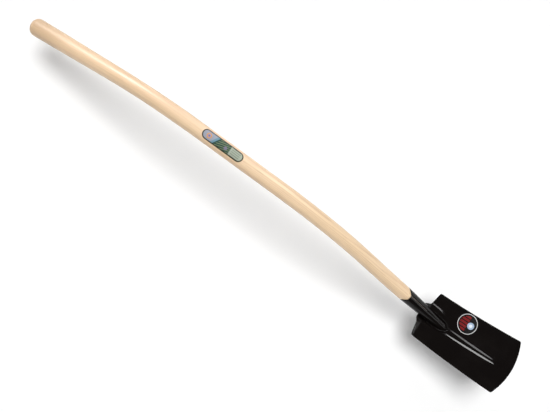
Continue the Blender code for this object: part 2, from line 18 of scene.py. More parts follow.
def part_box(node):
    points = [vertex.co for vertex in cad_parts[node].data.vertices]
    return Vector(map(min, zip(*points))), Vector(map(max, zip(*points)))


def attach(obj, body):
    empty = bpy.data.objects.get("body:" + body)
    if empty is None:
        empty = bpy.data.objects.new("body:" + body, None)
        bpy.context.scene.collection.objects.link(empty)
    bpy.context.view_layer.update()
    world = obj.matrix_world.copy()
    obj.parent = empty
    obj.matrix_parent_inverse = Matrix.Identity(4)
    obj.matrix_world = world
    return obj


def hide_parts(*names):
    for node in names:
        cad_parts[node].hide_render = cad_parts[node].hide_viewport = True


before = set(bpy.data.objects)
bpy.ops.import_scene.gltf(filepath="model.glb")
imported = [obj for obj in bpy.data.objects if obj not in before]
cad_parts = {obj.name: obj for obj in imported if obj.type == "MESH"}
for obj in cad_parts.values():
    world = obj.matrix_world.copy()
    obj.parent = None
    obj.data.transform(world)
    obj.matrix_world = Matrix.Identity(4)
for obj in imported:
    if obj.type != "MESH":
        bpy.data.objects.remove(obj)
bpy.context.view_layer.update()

bl_info = {
    "name": "Trenching spade",
    "version": (1, 0, 0),
    "blender": (4, 5, 0),
    "location": "3D View > Sidebar > Spade",
    "description": "Builds a trenching spade with a bent ash handle piece by piece",
    "category": "Add Mesh",
}

SIDEWAYS = np.array([0.0, 1.0, 0.0])
BOX_TOLERANCE = 0.003
MILLIMETRES = 1000.0

# Fineness of the surfaces
CENTRE_LINE_POINTS = 4001
HANDLE_SIDES = 96
INSIDE_RINGS = 60
BODY_RINGS = 620
DOME_RINGS = 40
BLADE_GRID = (210, 190)
BLADE_CROWDING = 0.35
SOCKET_GRID = (150, 200)
FACE_WELD_RINGS = 900
HEEL_WELD_RINGS = 220
BEAD_SIDES = 20
RIVET_SIDES = 64
LABEL_GRID = (61, 181)
STICKER_POINTS = 97
WALL_SIDES = 64

# Small shapes of the stick: the rounded tip, and the step out to full size at the socket's mouth
TIP_ROUND = 0.002
STEP_GAP = 0.0006
STEP_ROUND = 0.0008
# Unevenness from sanding: each wave's height, its rate along the stick and its shift
SANDING_WAVES = ((1.0, 41.0, 0.7), (0.6, 97.0, 0.0), (0.4, 173.0, 2.0))

# Small shapes of welds and rivet
BEAD_SPACING = 0.0017
BEAD_CLEARANCE = 0.0005
HEAD_SWEEP = math.radians(84.0)
HEAD_LIP = 0.97
HEAD_UNDERSIDE = 0.00004
SHANK_START = 0.006

# The stretches of the tool that the soft boxes face, and their distance
GROOVE_MIDDLE = (0.50, 0.0, 0.04)
SEAM_MIDDLE = (0.42, 0.0, 0.04)
NECK_MIDDLE = (0.48, 0.0, 0.04)
GRIP_MIDDLE = (-0.35, 0.0, 0.10)
SOFTBOX_DISTANCE = 2.5


def length(name, description, default):
    """A property for a length in metres."""
    return FloatProperty(name=name, description=description, default=default, unit="LENGTH", precision=5)


def angle(name, description, degrees):
    """A property for an angle, given in degrees."""
    return FloatProperty(name=name, description=description, default=math.radians(degrees), subtype="ANGLE")


def level(name, description, default):
    """A property for a plain number."""
    return FloatProperty(name=name, description=description, default=default)


def vector(name, description, default, subtype):
    """A property for a place or a rotation."""
    return FloatVectorProperty(
        name=name, description=description, default=default, subtype=subtype, size=3, precision=6
    )


def colour(name, description, default):
    """A property for a colour in linear light."""
    return FloatVectorProperty(
        name=name, description=description, default=default, subtype="COLOR", size=3, min=0.0, max=1.0
    )


def group(name, kind):
    """A property that holds a group of others."""
    return PointerProperty(type=kind, name=name, description=kind.__doc__)


class RestPlace(PropertyGroup):
    """Where the tool lies on the floor, as in the packed model"""

    pitch: angle("Pitch", "Turn that brings the blade down to the floor", 20.78900)
    roll: angle("Roll", "Turn about the tool's length that lays one side of the blade down", 7.54992)
    mouth: vector(
        "Mouth", "Place of the centre of the socket's mouth", (0.366171, -0.000579, 0.057486), "TRANSLATION"
    )


class HandleSizes(PropertyGroup):
    """The bent ash stick, measured along its centre line from the end inside the socket"""

    length: length("Length", "Length of the stick", 1.200)
    diameter: length("Diameter", "Diameter of the stick", 0.036)
    grip_diameter: length("Grip diameter", "Diameter at the swelled end", 0.0414)
    swell: length("Swelling", "Length over which the grip swells", 0.300)
    insert: length("Insert", "Length of wood inside the socket", 0.082)
    lower_straight: length("Lower straight", "Straight run from the socket to the lower bend", 0.156)
    grip_straight: length("Grip straight", "Straight run of the grip", 0.232)
    rise_length: length("Rise length", "Length of the slight rise past the socket", 0.120)
    rise: angle("Rise", "How far the stick rises past the socket", 3.5)
    lower_radius: length("Lower bend radius", "Radius of the bend nearer the blade", 0.612)
    lower_bend: angle("Lower bend", "Angle of the bend nearer the blade", 25.8)
    upper_radius: length("Upper bend radius", "Radius of the bend nearer the grip", 0.579)
    upper_bend: angle("Upper bend", "Angle of the bend nearer the grip", 23.7)
    dome: length("Dome", "Height of the domed end", 0.016)
    end_flat: length("End flat", "Diameter of the flat left by turning on the domed end", 0.012)
    hand_finish: length("Hand finish", "Unevenness that sanding leaves on the radius", 0.00012)


class SocketSizes(PropertyGroup):
    """Sheet steel rolled to a cone, open along a seam on the face side, with its welds and rivet"""

    taper: angle("Taper", "Half angle of the cone", 2.0)
    sheet: length("Sheet", "Thickness of the steel", 0.0018)
    seam_mouth: length("Seam at the mouth", "Width of the seam at the mouth", 0.0026)
    seam_end: length("Seam at the end", "Width of the seam at the blade", 0.0008)
    seam_turn: angle("Seam turn", "Turn of the seam from the top of the socket", 8.0)
    mouth_turn: angle("Mouth turn", "Turn of the mouth's dip from the top of the socket", -12.0)
    mouth_dip: length("Mouth dip", "How far the mouth dips on the face side", 0.0100)
    dip_spread: level("Dip spread", "Share of the radius that dips", 0.96)
    bevel: length("Bevel", "How far the steel thins at the seam", 0.0009)
    bevel_width: length("Bevel width", "Width over which the steel thins", 0.0030)
    fit: length("Fit", "Clearance between wood and steel", 0.0004)
    seat: length("Seat", "Clearance between socket and blade", 0.0003)
    weld_radius: length("Weld radius", "Radius of the weld bead", 0.0022)
    weld_reach: angle("Weld reach", "How far the bead runs to each side of the top", 128.0)
    heel_weld: angle("Heel weld", "How far the bead under the socket runs to each side", 42.0)
    rivet_place: length("Rivet place", "Distance of the rivet from the mouth", 0.030)
    rivet_head: length("Rivet head", "Radius of the rivet's head", 0.0052)
    rivet_height: length("Rivet height", "Height of the rivet's head", 0.0024)
    rivet_shank: length("Rivet shank", "Radius of the rivet's shank", 0.0025)
    rivet_length: length("Rivet length", "Length of the rivet's shank", 0.022)


class BladeSizes(PropertyGroup):
    """One dished sheet with a pressed groove"""

    length: length("Length", "Length at the sides", 0.233)
    shoulder_width: length("Shoulder width", "Width across the shoulders", 0.1285)
    edge_width: length("Edge width", "Width across the cutting edge", 0.1485)
    sheet: length("Sheet", "Thickness of the steel", 0.0020)
    lift: angle("Lift", "Angle of the blade's chord to the socket", 34.6)
    dish: length("Dish", "Rise of the sides above the middle", 0.0062)
    sag: length("Sag", "Hollow along the length", 0.0133)
    bow: length("Bow", "Bow of the cutting edge", 0.0162)
    heel: length("Heel", "Distance of the heel from the socket's mouth", 0.109)
    tongue_length: length("Tongue length", "Length of the tongue behind the shoulders", 0.0185)
    tongue_width: length("Tongue width", "Half the width of the tongue", 0.0215)
    left_shoulder: length("Left shoulder", "Place along of the shoulder at +Y", 0.0035)
    right_shoulder: length("Right shoulder", "Place along of the shoulder at -Y", -0.0060)
    shoulder_drop: length("Shoulder drop", "How far each shoulder line falls back at the neck", 0.0060)
    drop_width: length("Neck width", "Half the width at the neck", 0.0295)
    corner: length("Corner", "Radius of the corners", 0.005)
    neck_fillet: length("Neck fillet", "Radius at the neck", 0.008)
    heel_blend: length("Heel blend", "Softness of the bend at the heel", 0.002)
    swell: length("Neck swelling", "Height of the swelling beside the socket", 0.0040)
    swell_spread: length("Swelling spread", "Width of the swelling", 0.0170)
    swell_length: length("Swelling length", "Length of the swelling", 0.062)
    groove_length: length("Groove length", "Length of the groove", 0.216)
    groove_depth: length("Groove depth", "Depth of the groove", 0.0036)
    groove_width: length("Groove width", "Half the width of the groove at the heel", 0.0180)
    groove_end: length("Groove end", "Half the width of the groove where it ends", 0.0075)
    groove_side: length("Groove side", "How far the groove lies to the side of the middle", -0.0045)


class LabelSizes(PropertyGroup):
    """The printed label on the handle and the round sticker on the blade"""

    length: length("Length", "Length of the handle label", 0.106)
    width: length("Width", "Width of the handle label", 0.0245)
    place: length("Place", "Distance of the handle label from the mouth", 0.593)
    sticker: length("Sticker", "Diameter of the blade sticker", 0.0535)
    sticker_along: length("Sticker along", "Place of the sticker from the shoulders", 0.101)
    sticker_across: length("Sticker across", "Place of the sticker from the middle", 0.0395)
    film: length("Film", "Thickness of the printed film", 0.00025)
    gap: length("Gap", "Clearance under the film", 0.0002)


class Finishes(PropertyGroup):
    """The colours of wood, enamel and print"""

    wood_pale: colour("Pale wood", "Ash between the growth rings", (0.955, 0.720, 0.470))
    wood_deep: colour("Deep wood", "Ash in the growth rings", (0.76, 0.50, 0.285))
    wood_pink: colour("Pink wood", "Pinkish streaks", (0.93, 0.655, 0.425))
    wood_end: colour("End grain", "Wood where the fibres end", (0.50, 0.32, 0.18))
    # Painted shade: the wood inside the socket, seen through the seam, is coloured near black for the shade
    # of the steel round it
    wood_socket_shade: colour("Stained wood", "Wood that enamel has stained", (0.012, 0.007, 0.005))
    ring_spacing: length("Ring spacing", "Thickness of one year's wood", 0.0027)
    # Painted shade: the stretch of stick inside the socket that is coloured near black, up to where it fades
    # out
    socket_shade_start: length("Stain start", "Place on the stick up to which enamel has stained it", 0.070)
    socket_shade_end: length("Stain end", "Place on the stick from which it is clean", 0.0745)
    # From this place the stick's colour darkens towards the grip's end
    grip_dark_start: length("Held start", "Place on the stick from which hands have darkened it", 1.05)
    grip_dark_end: length("Held end", "Place on the stick from which it is darkest", 1.19)
    enamel: colour("Enamel", "Black enamel", (0.0056, 0.0044, 0.0041))
    enamel_dust: colour("Enamel haze", "Thin haze on the enamel", (0.0080, 0.0065, 0.0060))
    enamel_speck: colour("Enamel speck", "Fine specks in the enamel", (0.025, 0.023, 0.021))
    label_border: colour("Label border", "Dark border of the label", (0.032, 0.028, 0.014))
    label_edge: colour("Label edge", "Cut edge of the label", (0.06, 0.052, 0.03))
    label_field: colour("Label field", "Dark green field of the label", (0.020, 0.056, 0.048))
    label_mottle: colour("Label mottle", "Lighter clouds in the field", (0.036, 0.088, 0.068))
    label_stripe: colour("Label stripe", "Slanting stripes on the field", (0.31, 0.37, 0.16))
    label_spot: colour("Label spot", "Dull spot on the field", (0.20, 0.18, 0.26))
    label_pale: colour("Label pale", "Pale end towards the grip", (0.34, 0.37, 0.45))
    label_band: colour("Label band", "Light blue slanting band", (0.16, 0.31, 0.40))
    label_ring: colour("Label ring", "Orange ring on the pale end", (0.78, 0.33, 0.08))
    label_dot: colour("Label dot", "Violet dot in the ring", (0.26, 0.16, 0.42))
    label_panel: colour("Label panel", "Pale panel towards the blade", (0.40, 0.45, 0.36))
    label_bar: colour("Label bar", "Bars on the panel", (0.19, 0.22, 0.17))
    sticker_line: colour("Sticker line", "White line of the sticker", (0.80, 0.80, 0.80))
    sticker_black: colour("Sticker black", "Black ground of the sticker", (0.006, 0.006, 0.006))
    sticker_worn: colour("Sticker worn", "Ground where it is rubbed", (0.014, 0.013, 0.013))
    sticker_red: colour("Sticker red", "Red stripes on one half", (0.22, 0.014, 0.014))
    sticker_blue: colour("Sticker blue", "Pale blue dot", (0.40, 0.52, 0.68))
    sticker_middle: colour("Sticker middle", "White middle of the dot", (0.80, 0.84, 0.88))


class StudioSettings(PropertyGroup):
    """Camera, lamps and floor"""

    camera_place: vector(
        "Camera place", "Where the camera stands", (-0.36437, -0.13216, 2.11915), "TRANSLATION"
    )
    camera_turn: vector("Camera turn", "Rotation of the camera", (-0.053870, -0.168542, 0.632938), "EULER")
    lens: level("Lens", "Focal length in millimetres", 58.546)
    key: level("Key lamp", "Strength of the lamp that casts the shadow", 2.55)
    gloss: level("Gloss lamp", "Strength of the lamp that the lacquer mirrors", 0.6)
    fill: level("Fill lamp", "Strength of the lamp on the lower side", 0.22)
    low: level("Low lamp", "Strength of the lamp near the floor", 0.7)
    strip: level("Groove boxes", "Brightness of the long boxes that the groove mirrors", 34.0)
    edge: level("Seam boxes", "Brightness of the boxes that seam and neck mirror", 36.0)
    sheen: level("Wood boxes", "Brightness of the boxes that the wood mirrors", 40.0)
    world: level("World", "Level of the even light all round", 0.05)
    floor: level("Floor", "Share of light that the floor gives back", 0.87)
    glow: level("Floor glow", "Plain white added to the floor as seen", 0.145)
    floor_drop: length("Floor drop", "How far the floor lies under the spade", 0.120)
    wall_distance: length("Wall distance", "Distance of the pale wall round the floor", 30.0)
    wall_height: length("Wall height", "Height of the pale wall", 5.0)


class Spade(PropertyGroup):
    """All settings of the spade and its studio"""

    rest: group("Rest", RestPlace)
    handle: group("Handle", HandleSizes)
    socket: group("Socket", SocketSizes)
    blade: group("Blade", BladeSizes)
    labels: group("Labels", LabelSizes)
    finishes: group("Finishes", Finishes)
    studio: group("Studio", StudioSettings)


# Meshes


def lay(points, rest):
    """Points of the tool's frame where the tool lies: pitched about Y, rolled about X, then moved."""
    pitch = np.array(Euler((0.0, rest.pitch, 0.0)).to_matrix())
    roll = np.array(Euler((-rest.roll, 0.0, 0.0)).to_matrix())
    return points @ (roll @ pitch).T + np.array(rest.mouth)


def quads_of(rows, columns, start=0, wrap=False):
    """Quads over a grid of points stored row by row; wrap joins the last column to the first."""
    row = np.arange(rows - 1)[:, None]
    column = np.arange(columns if wrap else columns - 1)[None, :]
    after = (column + 1) % columns
    near, far = row * columns, (row + 1) * columns
    corners = np.broadcast_arrays(near + column, far + column, far + after, near + after)
    return start + np.stack(corners, axis=-1).reshape(-1, 4)


def fan(pole, ring):
    """Triangles from one pole to a closed ring of points."""
    return np.stack([np.full(len(ring), pole), ring, np.roll(ring, -1)], axis=-1)


def volume(points, triangles):
    """Signed volume inside triangles: a sixth of the sum of each triangle's triple product."""
    a, b, c = (points[triangles[:, k]] for k in range(3))
    return float(np.einsum("ij,ij->i", a, np.cross(b, c)).sum() / 6.0)


def make_mesh(name, points, quads, triangles=None):
    """A mesh from whole arrays, turned so that its faces point outwards."""
    triangles = np.empty((0, 3), int) if triangles is None else triangles
    split = np.concatenate([quads[:, [0, 1, 2]], quads[:, [0, 2, 3]], triangles])
    if volume(points, split) < 0.0:
        quads, triangles = quads[:, ::-1], triangles[:, ::-1]
    corners = np.concatenate([quads.ravel(), triangles.ravel()]).astype(np.int32)
    starts = np.concatenate([np.arange(len(quads)) * 4, quads.size + np.arange(len(triangles)) * 3])
    mesh = bpy.data.meshes.new(name)
    mesh.vertices.add(len(points))
    mesh.vertices.foreach_set("co", points.astype(np.float32).ravel())
    mesh.loops.add(len(corners))
    mesh.loops.foreach_set("vertex_index", corners)
    mesh.polygons.add(len(starts))
    mesh.polygons.foreach_set("loop_start", starts.astype(np.int32))
    mesh.update(calc_edges=True)
    if mesh.validate():
        raise RuntimeError(f"the mesh of {name} had faults")
    mesh.shade_smooth()
    return mesh


def tube(centres, radii, up, side, sides):
    """A grid of rings and a pole at each end: centre + radius (cos t up + sin t side)."""
    turn = np.linspace(0.0, 2.0 * math.pi, sides, endpoint=False)[None, :, None]
    outward = np.cos(turn) * up[:, None] + np.sin(turn) * side[:, None]
    rings = centres[:, None] + radii[:, None, None] * outward
    count = len(centres) * sides
    points = np.concatenate([rings.reshape(-1, 3), centres[:1], centres[-1:]])
    quads = quads_of(len(centres), sides, wrap=True)
    first, last = np.arange(sides), count - sides + np.arange(sides)
    return points, quads, np.concatenate([fan(count, first[::-1]), fan(count + 1, last)])


def boundary(rows, columns):
    """Row and column numbers once round the edge of a grid."""
    out, back = np.arange(columns - 1), np.arange(columns - 1, 0, -1)
    down, up = np.arange(rows - 1), np.arange(rows - 1, 0, -1)
    row = np.concatenate([out * 0, down, back * 0 + rows - 1, up])
    column = np.concatenate([out, down * 0 + columns - 1, back, up * 0])
    return row, column


def plate(top, bottom, bulge=1.0, steps=5):
    """A closed sheet between two grids of points, whose rim is half round.

    Round the edge, each rim point is middle + cos t (half the thickness) + sin t (bulge times half the
    thickness, outwards in the sheet), with t from 0 at the top to pi at the bottom.
    """
    rows, columns = top.shape[:2]
    row, column = boundary(rows, columns)
    middle, half = (top + bottom) / 2.0, (top - bottom) / 2.0
    inner = middle[np.clip(row, 1, rows - 2), np.clip(column, 1, columns - 2)]
    edge, half_edge = middle[row, column], half[row, column]
    outward = np.cross(np.roll(edge, -1, axis=0) - np.roll(edge, 1, axis=0), half_edge)
    outward /= np.linalg.norm(outward, axis=1, keepdims=True)
    outward *= np.sign(np.einsum("ij,ij->", outward, edge - inner))
    reach = np.linalg.norm(half_edge, axis=1, keepdims=True) * np.broadcast_to(bulge, len(row))[:, None]
    turn = np.linspace(0.0, math.pi, steps + 2)[1:-1, None, None]
    rim = edge + np.cos(turn) * half_edge + np.sin(turn) * reach * outward
    count, ring = rows * columns, len(row)
    loops = [row * columns + column]
    loops += [2 * count + step * ring + np.arange(ring) for step in range(steps)]
    loops.append(count + loops[0])
    strips = [np.stack([a, b, np.roll(b, -1), np.roll(a, -1)], axis=-1) for a, b in zip(loops, loops[1:])]
    upper = quads_of(rows, columns)
    lower = quads_of(rows, columns, start=count)[:, ::-1]
    points = np.concatenate([top.reshape(-1, 3), bottom.reshape(-1, 3), rim.reshape(-1, 3)])
    if not runs_against(upper, strips[0][0]):
        strips = [strip[:, ::-1] for strip in strips]
    return points, np.concatenate([upper, lower] + strips)


def runs_against(quads, strip):
    """Whether a rim quad runs its shared edge the other way from the grid, as it must."""
    start, end = strip[3], strip[0]
    edges = np.concatenate([quads[:, [k, (k + 1) % 4]] for k in range(4)])
    return bool(np.any((edges[:, 0] == end) & (edges[:, 1] == start)))


def put(name, data):
    """A new object in the scene."""
    item = bpy.data.objects.new(name, data)
    bpy.context.scene.collection.objects.link(item)
    return item


def add_piece(tool, name, node, finish, points, quads, triangles=None):
    """Lay a surface down in place of its CAD node, and check that it fills the same box."""
    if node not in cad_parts:
        raise RuntimeError(f"the packed model has no node named {node}")
    points = lay(points, tool.rest)
    mesh = make_mesh(name, points, quads, triangles)
    mesh.materials.append(finish)
    low, high = (np.array(corner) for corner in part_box(node))
    off = max(np.abs(points.min(axis=0) - low).max(), np.abs(points.max(axis=0) - high).max())
    if off > BOX_TOLERANCE:
        raise RuntimeError(f"{name} is {off * MILLIMETRES:.1f} mm off the box of {node}")
    piece = put(name, mesh)
    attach(piece, "root")
    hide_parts(node)
    return mesh


def give_vectors(mesh, name, values):
    """Store one vector for each point of a mesh."""
    attribute = mesh.attributes.new(name, "FLOAT_VECTOR", "POINT")
    attribute.data.foreach_set("vector", values.astype(np.float32).ravel())


def give_print_map(mesh, flat):
    """Store a print's own flat coordinates as a UV map: the same for its top, its bottom and its rim."""
    face, rim = flat.reshape(-1, 2), flat[boundary(*flat.shape[:2])]
    values = np.concatenate([face, face, rim])
    layer = mesh.uv_layers.new(name="print")
    corners = np.empty(len(mesh.loops), np.int32)
    mesh.loops.foreach_get("vertex_index", corners)
    layer.data.foreach_set("uv", values[corners].astype(np.float32).ravel())


# The stick


def handle_turn(handle, station):
    """Turn of the centre line: each bend grows evenly along its arc, less the slight rise past the mouth."""
    upper_start = handle.length - handle.grip_straight - handle.upper_radius * handle.upper_bend
    lower = (station - handle.insert - handle.lower_straight) / handle.lower_radius
    upper = (station - upper_start) / handle.upper_radius
    rise = np.clip((station - handle.insert) / handle.rise_length, 0.0, 1.0) * handle.rise
    return np.clip(lower, 0.0, handle.lower_bend) + np.clip(upper, 0.0, handle.upper_bend) - rise


def handle_centre(handle, station):
    """Centre line: the running sum of steps (-cos turn, 0, -sin turn) from the end inside the socket."""
    marks, step = np.linspace(0.0, handle.length, CENTRE_LINE_POINTS, retstep=True)
    turn = handle_turn(handle, marks[:-1] + step / 2.0)
    x = handle.insert - np.concatenate([[0.0], np.cumsum(np.cos(turn)) * step])
    z = -np.concatenate([[0.0], np.cumsum(np.sin(turn)) * step])
    place = [np.interp(station, marks, x), np.zeros_like(station), np.interp(station, marks, z)]
    return np.stack(place, axis=-1)


def handle_up(handle, station):
    """Direction out of the face side of the stick: (-sin turn, 0, cos turn)."""
    turn = handle_turn(handle, station)
    return np.stack([-np.sin(turn), np.zeros_like(turn), np.cos(turn)], axis=-1)


def socket_radius(tool, x):
    """Outer radius of the cone: half the stick's diameter, less x tan(taper)."""
    return tool.handle.diameter / 2.0 - x * math.tan(tool.socket.taper)


def handle_radius(handle, station):
    """Radius of the stick: half the diameter, with a smooth step up to the grip over the swelling."""
    share = np.clip((station - handle.length + handle.swell) / handle.swell, 0.0, 1.0)
    swelling = (handle.grip_diameter - handle.diameter) * share * share * (3.0 - 2.0 * share)
    return (handle.diameter + swelling) / 2.0


def quarter_round(station, radius, size):
    """A quarter circle out to a radius: (station + size (1 - cos t), radius - size (1 - sin t))."""
    turn = np.linspace(0.0, math.pi / 2.0, 7)
    return station + size * (1.0 - np.cos(turn)), radius - size * (1.0 - np.sin(turn))


def handle_profile(tool):
    """Stations and radii from the end inside the socket to the flat on the dome.

    Inside the socket the wood is a cone under the steel, with a rounded tip. At the mouth it steps out
    over a small quarter round to the full radius. The dome is an ellipse of the grip's radius and the
    dome's height, cut off at the flat.
    """
    handle, socket = tool.handle, tool.socket
    inset = socket.sheet + socket.fit
    tip = socket_radius(tool, handle.insert) - inset
    neck = socket_radius(tool, 0.0) - inset
    tip_station, tip_radius = quarter_round(0.0, tip, TIP_ROUND)
    inside = np.linspace(TIP_ROUND, handle.insert + STEP_GAP, INSIDE_RINGS)[1:]
    inside_radius = np.interp(inside, [TIP_ROUND, inside[-1]], [tip, neck])
    step_station, step_radius = quarter_round(inside[-1], handle.diameter / 2.0, STEP_ROUND)
    dome_start = handle.length - handle.dome
    body = np.linspace(step_station[-1], dome_start, BODY_RINGS)[1:-1]
    waver = sum(height * np.sin(body * rate + shift) for height, rate, shift in SANDING_WAVES)
    body_radius = handle_radius(handle, body) + handle.hand_finish * waver / 2.0
    grip = handle.grip_diameter / 2.0
    last = math.acos(handle.end_flat / 2.0 / grip)
    arc = np.linspace(0.0, last, DOME_RINGS)
    dome_station = dome_start + handle.dome * np.sin(arc) / math.sin(last)
    flat = np.array([0.75, 0.5, 0.25]) * handle.end_flat / 2.0
    end = np.full(len(flat), handle.length)
    station = np.concatenate([tip_station, inside, step_station, body, dome_station, end])
    radius = np.concatenate([tip_radius, inside_radius, step_radius, body_radius, grip * np.cos(arc), flat])
    return station, radius


def build_handle(tool, finish):
    """The stick as rings along its bent centre line, with its straightened place stored for the grain."""
    handle = tool.handle
    station, radius = handle_profile(tool)
    up = handle_up(handle, station)
    side = np.broadcast_to(SIDEWAYS, up.shape)
    points, quads, poles = tube(handle_centre(handle, station), radius, up, side, HANDLE_SIDES)
    mesh = add_piece(tool, "handle_wood", "handle", finish, points, quads, poles)
    turn = np.linspace(0.0, 2.0 * math.pi, HANDLE_SIDES, endpoint=False)
    straight = np.stack(np.broadcast_arrays(
        station[:, None], radius[:, None] * np.sin(turn), radius[:, None] * np.cos(turn)
    ), axis=-1).reshape(-1, 3)
    ends = np.array([[station[0], 0.0, 0.0], [station[-1], 0.0, 0.0]])
    give_vectors(mesh, "grain", np.concatenate([straight, ends]))
    slope = np.arctan2(-np.gradient(radius), np.maximum(np.gradient(station), 1e-6))
    cut = np.clip(slope / (math.pi / 2.0), 0.0, 1.0) * (station > handle.length - handle.dome)
    shares = np.concatenate([np.repeat(cut, HANDLE_SIDES), [0.0, 1.0]])
    give_vectors(mesh, "end_grain", shares[:, None] * np.ones(3))


# The blade


def blade_axes(blade):
    """Unit vectors along the blade's chord and out of its face, in the tool's frame."""
    cosine, sine = math.cos(blade.lift), math.sin(blade.lift)
    return np.array([cosine, 0.0, sine]), np.array([-sine, 0.0, cosine])


def neck_rise(blade, along):
    """Swelling beside the socket: half a cosine wave from full at the heel to nothing."""
    share = np.clip(along / blade.swell_length, 0.0, 1.0)
    return blade.swell * (0.5 + 0.5 * np.cos(math.pi * share))


def groove_depth(blade, along, across):
    """Depth of the groove: a cosine section whose depth falls with the square root of what is left."""
    run = np.clip(along / blade.groove_length, 0.0, 1.0)
    reach = blade.groove_width + (blade.groove_end - blade.groove_width) * run
    depth = blade.groove_depth * np.sqrt(1.0 - run) + neck_rise(blade, along)
    side = np.clip(np.abs(across - blade.groove_side) / reach, 0.0, 1.0)
    return depth * (0.5 + 0.5 * np.cos(math.pi * side))


def half_width(blade, along):
    """Half the blade's width, which grows evenly from the shoulders to the edge."""
    return (blade.shoulder_width + (blade.edge_width - blade.shoulder_width) * along / blade.length) / 2.0


def face_height(blade, along, across):
    """Height of the face over its chord: a dish across, a sag along, the swelling and the heel's bend.

    The dish grows with the square of the place across, and the sag is a parabola. Behind the heel the
    face keeps the sag's slope and bends up to the socket's, along a hyperbola.
    """
    share = along / blade.length
    slope_in = 4.0 * blade.sag / blade.length
    dish = blade.dish * (across / half_width(blade, along)) ** 2
    swell = neck_rise(blade, along) * np.exp(-((across / blade.swell_spread) ** 2))
    sag = np.where(along > 0.0, 4.0 * blade.sag * share * (1.0 - share), along * slope_in)
    behind = np.minimum(along, 0.0)
    bend = (math.tan(blade.lift) - slope_in) * (np.sqrt(behind**2 + blade.heel_blend**2) - blade.heel_blend)
    return dish + swell - sag + bend


def heel_point(tool):
    """Start of the chord, just under the socket."""
    heel = tool.blade.heel
    return np.array([heel, 0.0, -socket_radius(tool, heel) - tool.socket.seat])


def face_point(tool, along, across, lift=0.0):
    """Points of the load face: heel + along chord + across Y + (height - groove + lift) normal."""
    chord, normal = blade_axes(tool.blade)
    height = face_height(tool.blade, along, across) - groove_depth(tool.blade, along, across) + lift
    flat = heel_point(tool) + along[..., None] * chord + across[..., None] * SIDEWAYS
    return flat + height[..., None] * normal


def surface_normal(rows):
    """Unit normals of a grid of points, from its differences along rows and columns."""
    normal = np.cross(np.gradient(rows, axis=0), np.gradient(rows, axis=1))
    return normal / np.linalg.norm(normal, axis=-1, keepdims=True)


def rounded(before, corner, after, radius, steps=24):
    """Points of the arc that rounds one corner of a flat outline.

    Its centre lies on the corner's middle line, radius / sin(half the corner's angle) away.
    """
    before, corner, after = (np.array(point, dtype=float) for point in (before, corner, after))
    back, ahead = before - corner, after - corner
    back, ahead = back / np.linalg.norm(back), ahead / np.linalg.norm(ahead)
    half = math.acos(float(np.clip(back @ ahead, -1.0, 1.0))) / 2.0
    centre = corner + (back + ahead) / np.linalg.norm(back + ahead) * radius / math.sin(half)
    start = corner + back * radius / math.tan(half) - centre
    end = corner + ahead * radius / math.tan(half) - centre
    turn = math.atan2(start[0] * end[1] - start[1] * end[0], start @ end) * np.linspace(0.0, 1.0, steps)
    x = np.cos(turn) * start[0] - np.sin(turn) * start[1]
    y = np.sin(turn) * start[0] + np.cos(turn) * start[1]
    return centre + np.stack([x, y], axis=-1)


def rear_line(blade, place):
    """Half of the sheet's rear line: the tongue's end, in to the neck and out along the shoulder."""
    inset = blade.sheet / 2.0
    end = (-blade.tongue_length + inset, 0.0)
    tongue = (end[0], blade.tongue_width - inset)
    neck = (place - blade.shoulder_drop + inset, blade.drop_width - inset)
    shoulder = (place + inset, blade.shoulder_width / 2.0 - inset)
    edge = (blade.length - inset, blade.edge_width / 2.0 - inset)
    return np.concatenate([
        [end],
        rounded(end, tongue, neck, blade.tongue_width / 4.0),
        rounded(tongue, neck, shoulder, blade.neck_fillet),
        rounded(neck, shoulder, edge, blade.corner - inset),
    ])


def front_line(blade):
    """Half of the sheet's front line: the bow of the cutting edge, then the corner's arc."""
    inset = blade.sheet / 2.0
    edge = (blade.length - inset, blade.edge_width / 2.0 - inset)
    shoulder = (0.0, blade.shoulder_width / 2.0 - inset)
    share = np.linspace(0.0, 0.9, 40)
    bowed = np.stack([edge[0] + blade.bow * (1.0 - share**2), edge[1] * share], axis=-1)
    return np.concatenate([bowed, rounded(bowed[-1], edge, shoulder, blade.corner - inset)])


def blade_ends(blade, share):
    """Where the sheet starts and ends along the blade, for a share of its half width.

    Both lines lie half the sheet's thickness inside the outline, which the round rim fills.
    """
    lines = (rear_line(blade, blade.left_shoulder), rear_line(blade, blade.right_shoulder), front_line(blade))
    ends = []
    for line in lines:
        shares = np.maximum.accumulate(line[:, 1] / (half_width(blade, line[:, 0]) - blade.sheet / 2.0))
        ends.append(np.interp(np.abs(share), shares / shares[-1], line[:, 0]))
    left, right, front = ends
    return np.where(share > 0.0, left, right), front


def build_blade(tool, finish):
    """The sheet as a grid that follows its rear line, its sides and its bowed edge.

    Each line along it runs evenly, with the third power of what is left drawing it to the rear line and
    the third power of what is run to the front line.
    """
    blade = tool.blade
    rows, columns = BLADE_GRID
    even = np.linspace(-1.0, 1.0, columns)
    share = np.sin(even * math.pi / 2.0) * BLADE_CROWDING + even * (1.0 - BLADE_CROWDING)
    start, end = blade_ends(blade, share)
    run = np.linspace(0.0, 1.0, rows)[:, None]
    along = blade.length * run + start * (1.0 - run) ** 3 + (end - blade.length) * run**3
    across = share * (half_width(blade, along) - blade.sheet / 2.0)
    top = face_point(tool, along, across)
    normal = surface_normal(top)
    normal *= np.sign(normal[rows // 2, columns // 2] @ blade_axes(blade)[1])
    points, quads = plate(top, top - normal * blade.sheet)
    add_piece(tool, "blade_sheet", "blade", finish, points, quads)


# The socket


def round_axis(x, radius, turn):
    """Points round the socket's axis: (x, radius sin turn, radius cos turn)."""
    return np.stack([x, radius * np.sin(turn), radius * np.cos(turn)], axis=-1)


